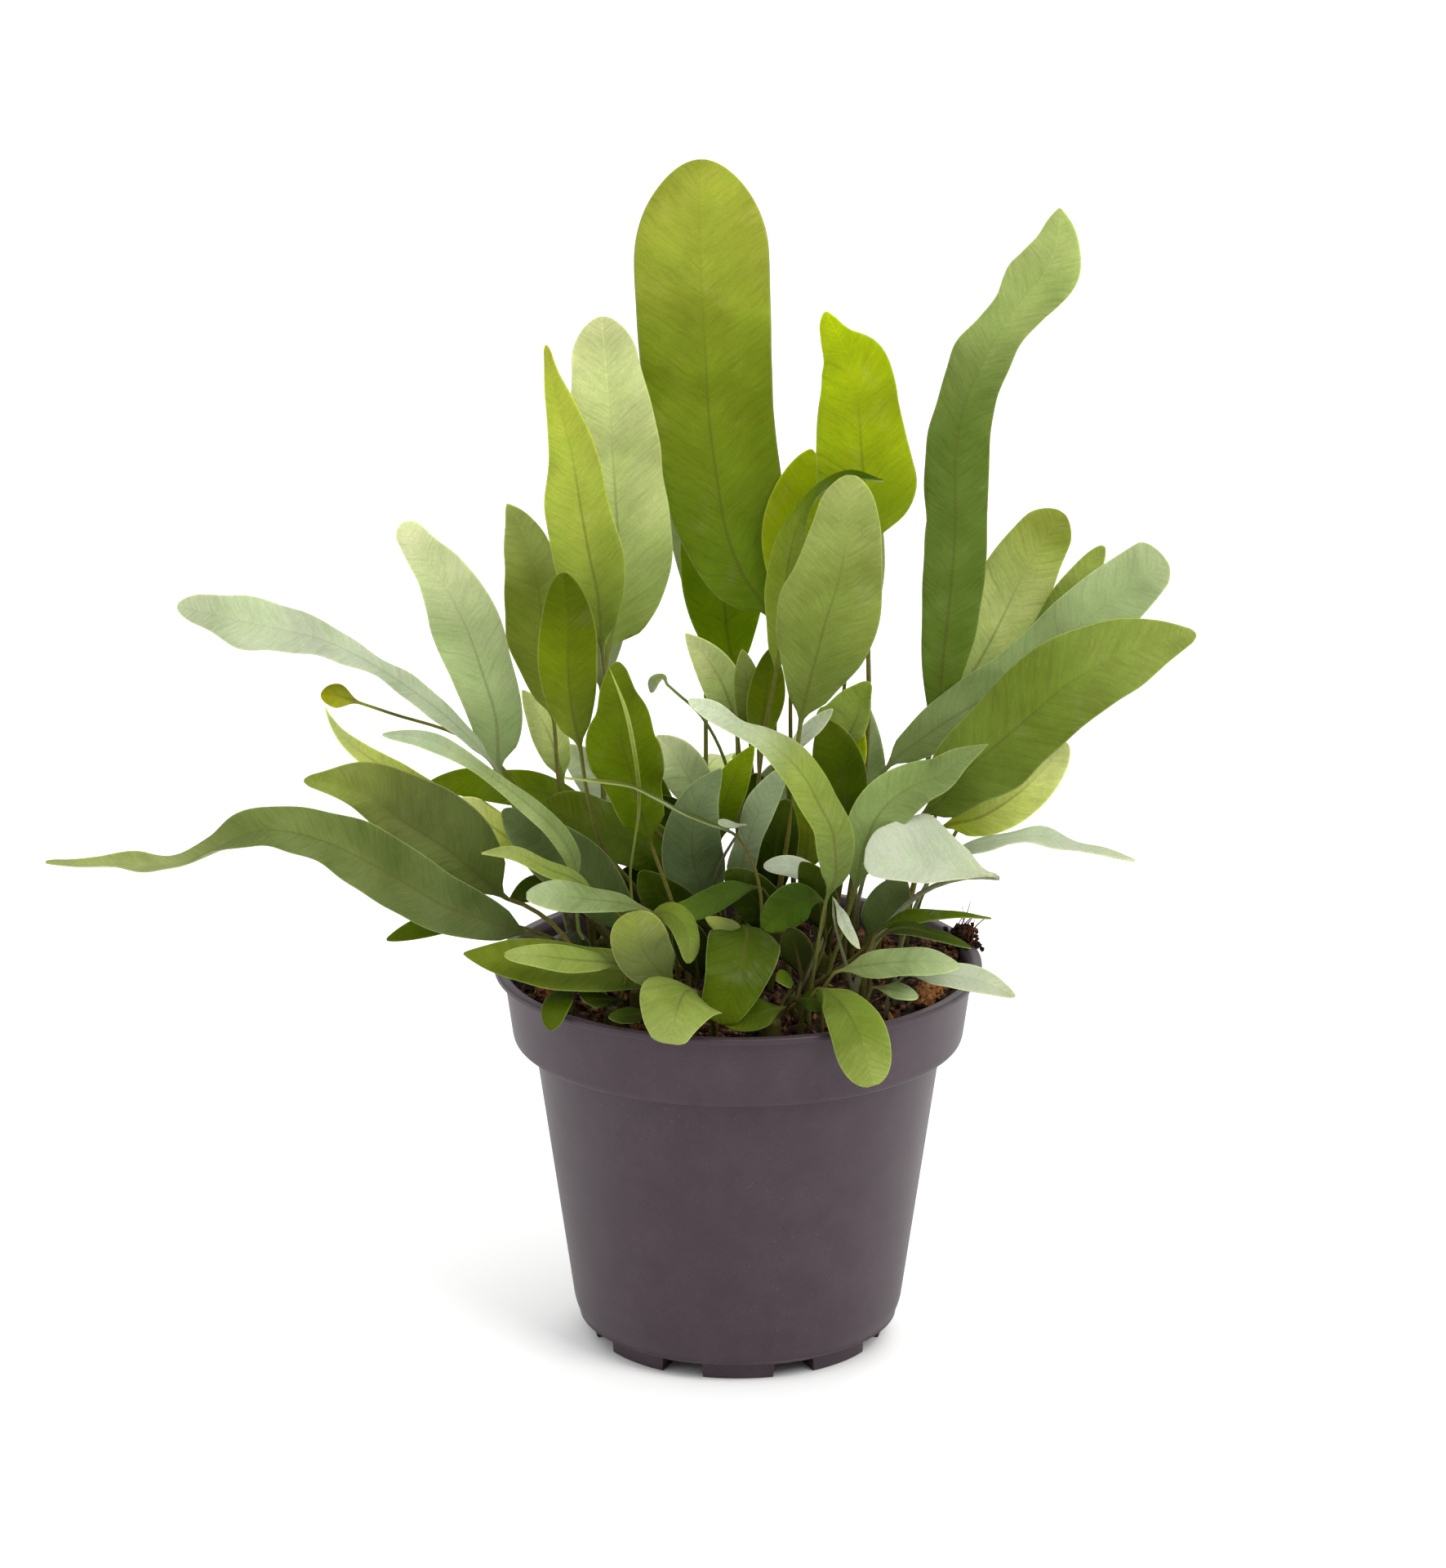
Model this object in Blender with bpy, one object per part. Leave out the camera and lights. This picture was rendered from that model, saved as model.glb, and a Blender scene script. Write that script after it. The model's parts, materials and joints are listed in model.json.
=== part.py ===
"""A fern with simple strap-shaped fronds in a 12 cm nursery pot.

The pot is a turned shell with a lip, a collar and a grooved foot. The soil fills it, and every frond's
stem stands in a plain hole in the soil. A frond is one closed loft: a thin six-sided stem that widens into
a blade. Its midrib runs through a few hand-placed points, and its upper face turns from one facing
direction to the next along the blade.
Sizes in this file are in millimetres and are turned into metres when a mesh is made.
"""

import math
from collections import namedtuple

import bmesh
import bpy
import numpy as np

MM = 0.001
GAP = 0.3

# Pot, as radii and heights in mm
POT_SIDES = 48
POT_HEIGHT = 96.0
LIP_RADIUS = 60.0
LIP_INNER = 57.6
LIP_DEPTH = 1.6
COLLAR_TOP_RADIUS = 57.7
COLLAR_LOW_RADIUS = 55.5
COLLAR_LOW_Z = 78.4
COLLAR_UNDER_Z = 76.8
BODY_TOP_RADIUS = 50.3
BODY_LOW_RADIUS = 40.75
BODY_LOW_Z = 6.2
WALL = 1.3
FOOT_RADIUS = 36.0
FOOT_HEIGHT = 2.4
FLOOR_TOP = 4.4
HUB_RADIUS = 20.0
GROOVES = 8
GROOVE_WIDTH = 10.5
DRAIN_RADIUS = 2.0
DRAIN_AT = 29.0

# Soil and what stands in it
SOIL_EDGE_Z = 88.5
SOIL_MOUND = 2.6
STEM_FOOT_Z = 82.0
STEM_FREE_Z = 94.0
CROWN_RADIUS = 2.4
CROWN_TOP_Z = 95.5
RHIZOME_ARC = 47.5
RHIZOME_RADIUS = 3.3

# Fronds
STEM_RADIUS = 1.0
YOUNG_STEM_RADIUS = 0.8
BLADE_HALF_THICKNESS = 0.36
MIDRIB_DEPTH = 0.45
STEM_STEP = 15.0
BLADE_STEP = 9.0
GOLDEN_SHARE = 0.618
FROND_ROUGHNESS = 0.5

Frond = namedtuple(
    "Frond",
    "name root stem blade width belly tip facing fold ruffle waves tone",
    defaults=(((0, -0.95, 0.3),), 0.1, 1.0, 2.0, "green"),
)
Tuft = namedtuple("Tuft", "name root fronds")

CAMERA_SIDE = ((0, -0.95, 0.3),)

FRONDS = [
    # Upright fronds in the middle
    Frond("frond_tallest", (10, 24), [(9, 27, 143)],
          [(8, 28, 175), (1, 28, 187), (-3, 28, 198), (-5, 28, 210), (-7, 29, 225), (-8, 29, 243),
           (-9, 30, 265), (-9, 30, 290)],
          ((1, 8, 11, 13.4, 14.3, 15.3, 16.2, 16.4, 16.4, 15.5, 14), (1, 9, 14.4, 15.5, 15.8, 16, 16.1,
           16.5, 16.6, 16, 14.5)),
          0.62, 0.2, ((0.05, -1, 0.2),), 0.06, 1.0, 3.0, "olive"),
    Frond("frond_behind_tallest", (0, 34), [(0, 37, 138)],
          [(-1, 38, 157), (-3, 38, 172), (-4, 39, 189), (-6, 40, 214)],
          10.5, 0.5, 1.6, ((0, -1, 0.2),), 0.05, 1.0, 2.0, "green"),
    Frond("frond_broad_pale", (-30, 14), [(-33, 12, 132), (-33, 12, 156)],
          [(-32, 12, 171), (-30, 12, 180), (-29, 12, 192), (-30, 12, 212), (-32, 12, 243), (-33, 13, 255)],
          ((1.5, 7, 10.5, 12, 12.5, 12.3, 12, 11, 9.5, 8.5, 7), (1.5, 8, 11.5, 13, 13.4, 12.6, 11.8, 10.8,
           9.4, 8, 6.5)),
          0.45, 0.12, ((0.25, -0.9, 0.35),), 0.08, 1.2, 2.5, "pale"),
    Frond("frond_pointed", (-6, -3), [(-8, -2, 115), (-21, -1, 131), (-30, 0, 153)],
          [(-33, 0, 175), (-34, 0, 189), (-36, 0, 199), (-38, 0, 211), (-40, 0, 224), (-44, 0, 240),
           (-46, 0, 251)],
          ((1, 5.5, 8.2, 8.8, 8.8, 8.5, 6.5, 4.8, 3.2, 1.9, 0.8), (1, 4.3, 7, 8.3, 7.6, 6.7, 6.5, 5.7, 4.1,
           2, 0.8)),
          0.36, 0.03, ((0.15, -1, 0.2), (-0.2, -1, 0.2)), 0.12, 1.0, 3.0, "yellow"),
    Frond("frond_folded", (-36, 9), [(-44, 9, 139)],
          [(-45, 9, 154), (-47, 9, 168), (-48, 9, 184), (-50, 8, 197), (-53, 8, 205), (-56, 7, 210)],
          8.5, 0.5, 1.3, ((-0.45, -0.9, 0.2), (-0.3, -0.9, 0.3)), 0.35, 1.0, 2.0, "green"),
    Frond("frond_olive", (-20, -12), [(-23, -12, 115), (-33, -12, 129), (-37, -12, 145)],
          [(-38, -12, 153), (-40, -12, 163), (-41, -12, 174), (-41, -12, 186), (-42, -12, 198)],
          7.2, 0.5, 1.7, ((-0.1, -1, 0.15),), 0.08, 0.7, 2.0, "olive"),
    Frond("frond_dark_left", (-12, -20), [(-15, -21, 116)],
          [(-21, -20, 135), (-23, -20, 141), (-25, -20, 149), (-28, -20, 158), (-28, -20, 168),
           (-28, -20, 178)],
          8.8, 0.5, 1.3, ((0, -1, 0.15),), 0.1, 1.0, 2.5, "dark"),
    Frond("frond_pale_left", (-30, 2), [(-44, 1, 116), (-54, 0, 134)],
          [(-58, 0, 144), (-59, 0, 158), (-62, 0, 169), (-66, 0, 181), (-72, 0, 193), (-76, 0, 199),
           (-81, 0, 207)],
          ((1, 4.7, 6.3, 7.1, 7.7, 8.4, 8.2, 6.6, 5, 4, 3), (1, 4.7, 6.5, 7.3, 7.8, 8.4, 8.5, 7.8, 6.5, 4.5,
           3)),
          0.5, 0.08, ((0.1, -0.95, 0.3),), 0.08, 0.8, 2.5, "pale"),
    Frond("frond_right_centre", (8, -10), [(13, -8, 138)],
          [(15, -6, 158), (17, -6, 168), (19, -6, 176), (21, -6, 184), (24, -6, 194), (26, -5, 205),
           (27, -4, 220)],
          ((1, 4, 7, 10, 12, 12.8, 11.5, 10, 8.8, 7.3, 5.5), (1, 5, 8.5, 11.2, 12.4, 12.3, 10.8, 9.2, 8,
           6.3, 5)),
          0.42, 0.12, ((0.1, -1, 0.2),), 0.08, 1.0, 2.5, "pale_green"),
    Frond("frond_arc", (2, 10), [(8, 9, 148), (10, 8, 183)],
          [(12, 6, 198), (14, 5, 210), (19, 4, 216), (25, 4, 219), (34, 3, 217)],
          5.0, 0.5, 1.3, ((-0.9, -0.3, 0.2), (0, -0.25, 1), (0.1, -0.25, 1)), 0.1, 0.5, 2.0, "dark"),
    Frond("frond_bright_right", (28, 12), [(31, 12, 137), (32, 13, 160)],
          [(31, 14, 193), (31, 14, 201), (31, 14, 210), (30, 14, 220), (29, 14, 232), (27, 14, 244),
           (24, 14, 250), (21, 14, 256)],
          ((1, 7, 10.5, 11.5, 11.3, 10.8, 10, 8.4, 7.2, 4.6, 2), (0.8, 3, 9.5, 12.6, 12.1, 11, 10, 9.6, 8.2,
           3.2, 0.8)),
          0.45, 0.05, ((-0.1, -1, 0.2), (0.1, -1, 0.2)), 0.1, 0.9, 2.5, "bright"),
    Frond("frond_wedge", (14, 26), [(13, 26, 148)],
          [(13, 26, 176), (13, 26, 196), (15, 26, 207), (18, 26, 219)],
          7.5, 0.55, 1.4, ((0, -1, 0.2),), 0.1, 0.8, 2.0, "bright"),
    Frond("frond_tall_right", (40, 10), [(46, 12, 123)],
          [(49, 14, 145), (50, 16, 161), (51, 18, 173), (52, 20, 189), (53, 22, 205), (55, 24, 221),
           (57, 25, 233), (60, 26, 244), (67, 27, 252), (73, 28, 259), (76, 29, 267), (78, 30, 278)],
          ((1, 5, 7.1, 7.7, 8, 7.9, 7.6, 6.3, 5.4, 7.4, 5), (1, 5, 7, 7.6, 7.9, 7.8, 7.6, 6.8, 5.4, 7.6,
           6.5)),
          0.45, 0.08, ((-0.1, -1, 0.1), (0.2, -1, 0.2), (-0.3, -1, 0.3)), 0.1, 1.2, 4.0, "glaucous"),
    # Left side
    Frond("frond_far_left", (-40, -6), [(-48, -5, 126), (-56, -6, 142)],
          [(-60, -7, 149), (-70, -8, 160), (-80, -8, 168), (-90, -9, 175), (-100, -9, 180),
           (-110, -10, 183), (-119, -10, 185), (-135, -10, 189)],
          ((1.2, 2.6, 3.1, 3.5, 3.7, 4.2, 5, 7, 7.8, 4.2, 2.5), (1.2, 2.6, 3.1, 3.5, 3.7, 4.2, 5, 6.6, 7.2,
           5, 3)),
          0.7, 0.06, ((0, -0.5, 0.85), (0, -0.5, 0.85), (0.1, -0.9, 0.5)), 0.1, 0.8, 3.0, "glaucous"),
    Frond("frond_small_yellow", (-41, 4), [(-54, 7, 138), (-66, 5, 151), (-84, -3, 160)],
          [(-91, -8, 164), (-94, -8, 165), (-98, -8, 166), (-101, -8, 166)],
          3.4, 0.5, 1.6, ((0, -0.8, 0.6),), 0.1, 0.2, 1.0, "yellow"),
    Frond("frond_narrow_left", (-40, 13), [(-56, 10, 124)],
          [(-68, 7, 133), (-80, 6, 141), (-88, 6, 147), (-95, 6, 153), (-101, 6, 160)],
          4.5, 0.5, 1.2, ((0, -0.9, 0.4),), 0.1, 0.6, 2.0, "yellow"),
    Frond("frond_low_left", (-36, -21), [(-43, -18, 109), (-51, -16, 115)],
          [(-56, -16, 117), (-64, -16, 124), (-71, -16, 130), (-80, -16, 136), (-91, -16, 144),
           (-105, -16, 147)],
          ((1, 3, 4.3, 5, 5.2, 5.5, 5.5, 5, 4, 2.5, 1), (1, 6, 9.5, 11.5, 12, 12, 11, 9, 6.5, 3.5, 1.2)),
          0.5, 0.04, ((-0.2, -0.85, 0.5),), 0.1, 1.0, 2.5, "olive"),
    Frond("frond_longest_left", (-40, -31), [(-44, -30, 110)],
          [(-50, -29, 112), (-60, -28, 115), (-71, -28, 119), (-79, -28, 124), (-89, -28, 130),
           (-99, -28, 135), (-111, -28, 138), (-118, -28, 137), (-125, -29, 134), (-132, -30, 131),
           (-140, -31, 130), (-148, -32, 131), (-156, -33, 131), (-166, -34, 132)],
          ((1.5, 5.5, 7.5, 8, 8, 7, 5.2, 4.2, 4, 2.2, 1), (1.5, 5.5, 7.5, 8, 8, 7, 5.4, 4.4, 4, 2.2, 1)),
          0.34, 0.03, ((-0.2, -0.8, 0.55), (-0.1, -0.8, 0.6), (0, -0.6, 0.8), (0, -0.15, 1), (0, -0.5, 0.9)
          ), 0.12, 1.0, 4.0, "grey_green"),
    Frond("frond_rounded_left", (-7, 7), [(-8, 5, 108)],
          [(-10, 4, 114), (-14, 4, 118), (-20, 4, 123), (-27, 4, 125), (-34, 4, 128), (-41, 4, 130),
           (-47, 4, 133)],
          7.0, 0.68, 2.0, ((0, -0.8, 0.6),), 0.05, 0.8, 2.0, "dark"),
    Frond("frond_pale_spoon", (-14, -31), [(-17, -35, 114.5)],
          [(-21, -37, 120.5), (-28, -37, 122.5), (-36, -37, 123.5), (-44, -37, 124.5), (-51, -37, 124.5)],
          4.6, 0.68, 1.8, ((0, -0.55, 0.85),), 0.05, 0.4, 1.5, "pale"),
    Frond("frond_front_left", (-24, -26), [(-25, -30, 102)],
          [(-28, -37, 107), (-34, -39, 108), (-40, -40, 109), (-50, -40, 109), (-58, -40, 110),
           (-66, -40, 111)],
          5.4, 0.5, 1.5, ((0, -0.75, 0.65),), 0.06, 0.6, 2.0, "green"),
    # Front
    Frond("frond_yellow_rim", (-6, -45), [(-8, -48, 101)],
          [(-11, -51, 104.5), (-14, -56, 105), (-16, -61, 101.5), (-16, -63.5, 95.5)],
          8.0, 0.5, 2.0, ((0, -0.6, 0.8), (0, -0.95, 0.3)), 0.05, 0.6, 2.0, "yellow"),
    Frond("frond_front_centre", (2, -32), [(1, -36, 110)],
          [(0, -38, 115), (-1, -43, 114), (-2, -48, 108), (-4, -52, 103), (-6, -54, 98.5)],
          6.8, 0.5, 1.6, ((0.1, -0.8, 0.5), (0.1, -0.95, 0.3)), 0.06, 0.7, 2.0, "green"),
    Frond("frond_arching", (17, -34), [(19, -36, 111)],
          [(21, -36, 123), (23, -36, 129), (23, -36, 135), (22, -36, 141), (19, -36, 147), (16, -36, 153),
           (12, -36, 158), (6, -36, 163), (0, -36, 166), (-5, -36, 170), (-12, -36, 173)],
          5.6, 0.3, 1.2, ((0.35, -0.9, 0.1), (0.4, -0.75, 0.5), (0.2, -0.5, 0.9)), 0.1, 0.6, 3.0, "green"),
    # Right side
    Frond("frond_olive_right", (36, 28), [(44, 31, 128)],
          [(52, 33, 150), (60, 34, 163), (65, 34, 173), (70, 34, 184), (75, 34, 193), (80, 34, 201)],
          ((1, 4, 7, 8.5, 9.4, 10, 10, 9.4, 8.4, 7.2, 5.5), (1, 4, 7, 8.5, 9, 9, 8.8, 8.2, 7, 6, 4.5)),
          0.5, 0.1, ((-0.15, -0.95, 0.2),), 0.08, 1.0, 3.0, "olive"),
    Frond("frond_narrow_right", (42, 20), [(52, 26, 133)],
          [(62, 28, 150), (69, 28, 159), (75, 28, 169), (80, 28, 178), (85, 28, 186), (90, 28, 194)],
          4.6, 0.55, 1.8, ((-0.3, -0.9, 0.2),), 0.1, 0.7, 2.5, "glaucous"),
    Frond("frond_blue_right", (26, 3), [(30, 5, 126)],
          [(36, 6, 143), (45, 6, 151), (55, 6, 158), (67, 6, 165), (79, 6, 176), (88, 6, 184), (96, 6, 190),
           (104, 6, 196)],
          ((1, 4, 6, 7, 7.5, 8, 8.2, 8, 7.8, 7.4, 6.5), (1, 4, 6, 7, 7.5, 8, 8, 8, 8.5, 7, 4)),
          0.5, 0.07, ((-0.2, -0.85, 0.45),), 0.08, 0.9, 3.0, "glaucous"),
    Frond("frond_big_right", (30, -8), [(37, -12, 122)],
          [(44, -14, 137), (49, -14, 141), (54, -14, 148), (62, -14, 155), (72, -14, 164), (80, -14, 171),
           (90, -14, 177), (100, -14, 181), (110, -14, 183)],
          ((1, 5.5, 9, 10.3, 11.6, 12, 11.8, 10.5, 8.3, 5.5, 3), (1, 6.5, 9.5, 11.4, 11, 10.5, 10.3, 10.2,
           9.2, 6.5, 3)),
          0.5, 0.06, ((-0.2, -0.9, 0.4),), 0.06, 1.0, 3.0, "green"),
    Frond("frond_yellow_right", (34, 0), [(42, -3, 122)],
          [(49, -4, 131), (59, -4, 134), (68, -4, 140), (75, -4, 147), (80, -4, 153)],
          6.2, 0.5, 1.7, ((0.2, -0.85, 0.45),), 0.05, 0.8, 2.0, "yellow"),
    Frond("frond_flat_right", (38, -15), [(43, -18, 116)],
          [(49, -20, 127), (56, -20, 131), (64, -20, 133), (72, -20, 134), (80, -20, 132), (88, -20, 130),
           (96, -20, 128)],
          4.4, 0.45, 1.3, ((0, -0.2, 1), (0, -0.1, 1)), 0.08, 0.6, 2.5, "glaucous"),
    Frond("frond_whitish", (26, -30), [(28, -30, 116)],
          [(31, -29, 128), (38, -29, 133), (46, -29, 133), (54, -29, 130), (62, -29, 127)],
          ((1, 6, 8, 9, 9.6, 9, 7, 5, 3.6, 2.4, 1.5), (1, 4, 7, 8.4, 8.9, 8.5, 7, 5, 3.2, 1.8, 0.8)),
          0.48, 0.04, ((0.05, -0.8, 0.6),), 0.08, 0.6, 2.0, "whitish"),
    Frond("frond_reaching", (21, -22), [(25, -22, 110)],
          [(28, -22, 120), (30, -22, 131), (33, -22, 139), (37, -22, 144), (43, -22, 148), (48, -22, 150),
           (53, -22, 154), (60, -22, 158)],
          6.0, 0.42, 1.1, ((0.4, -0.85, 0.3), (-0.2, -0.85, 0.5)), 0.1, 0.7, 2.5, "pale_green"),
    Frond("frond_strap_right", (20, -40), [(21, -43, 105)],
          [(23, -44, 107.5), (30, -44, 109), (38, -44, 110), (46, -44, 110), (53, -44, 109)],
          4.2, 0.5, 1.6, ((0, -0.65, 0.75),), 0.06, 0.4, 2.0, "green"),
    Frond("frond_pale_low_right", (38, -26), [(40, -28, 100)],
          [(44, -30, 102), (50, -31, 101.5), (55, -31, 101), (60, -31, 99.5), (66, -31, 97)],
          2.9, 0.5, 1.3, ((0, -0.6, 0.8),), 0.05, 0.2, 1.5, "pale"),
    Frond("frond_over_rim", (15, -42), [(17, -45, 101)],
          [(19, -47, 104.5), (24, -53, 103), (28, -58, 98), (30, -60.5, 92), (32, -62, 85)],
          6.8, 0.6, 2.0, ((0.1, -0.6, 0.8), (0.1, -0.95, 0.3)), 0.05, 0.5, 2.0, "green"),
]

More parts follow.
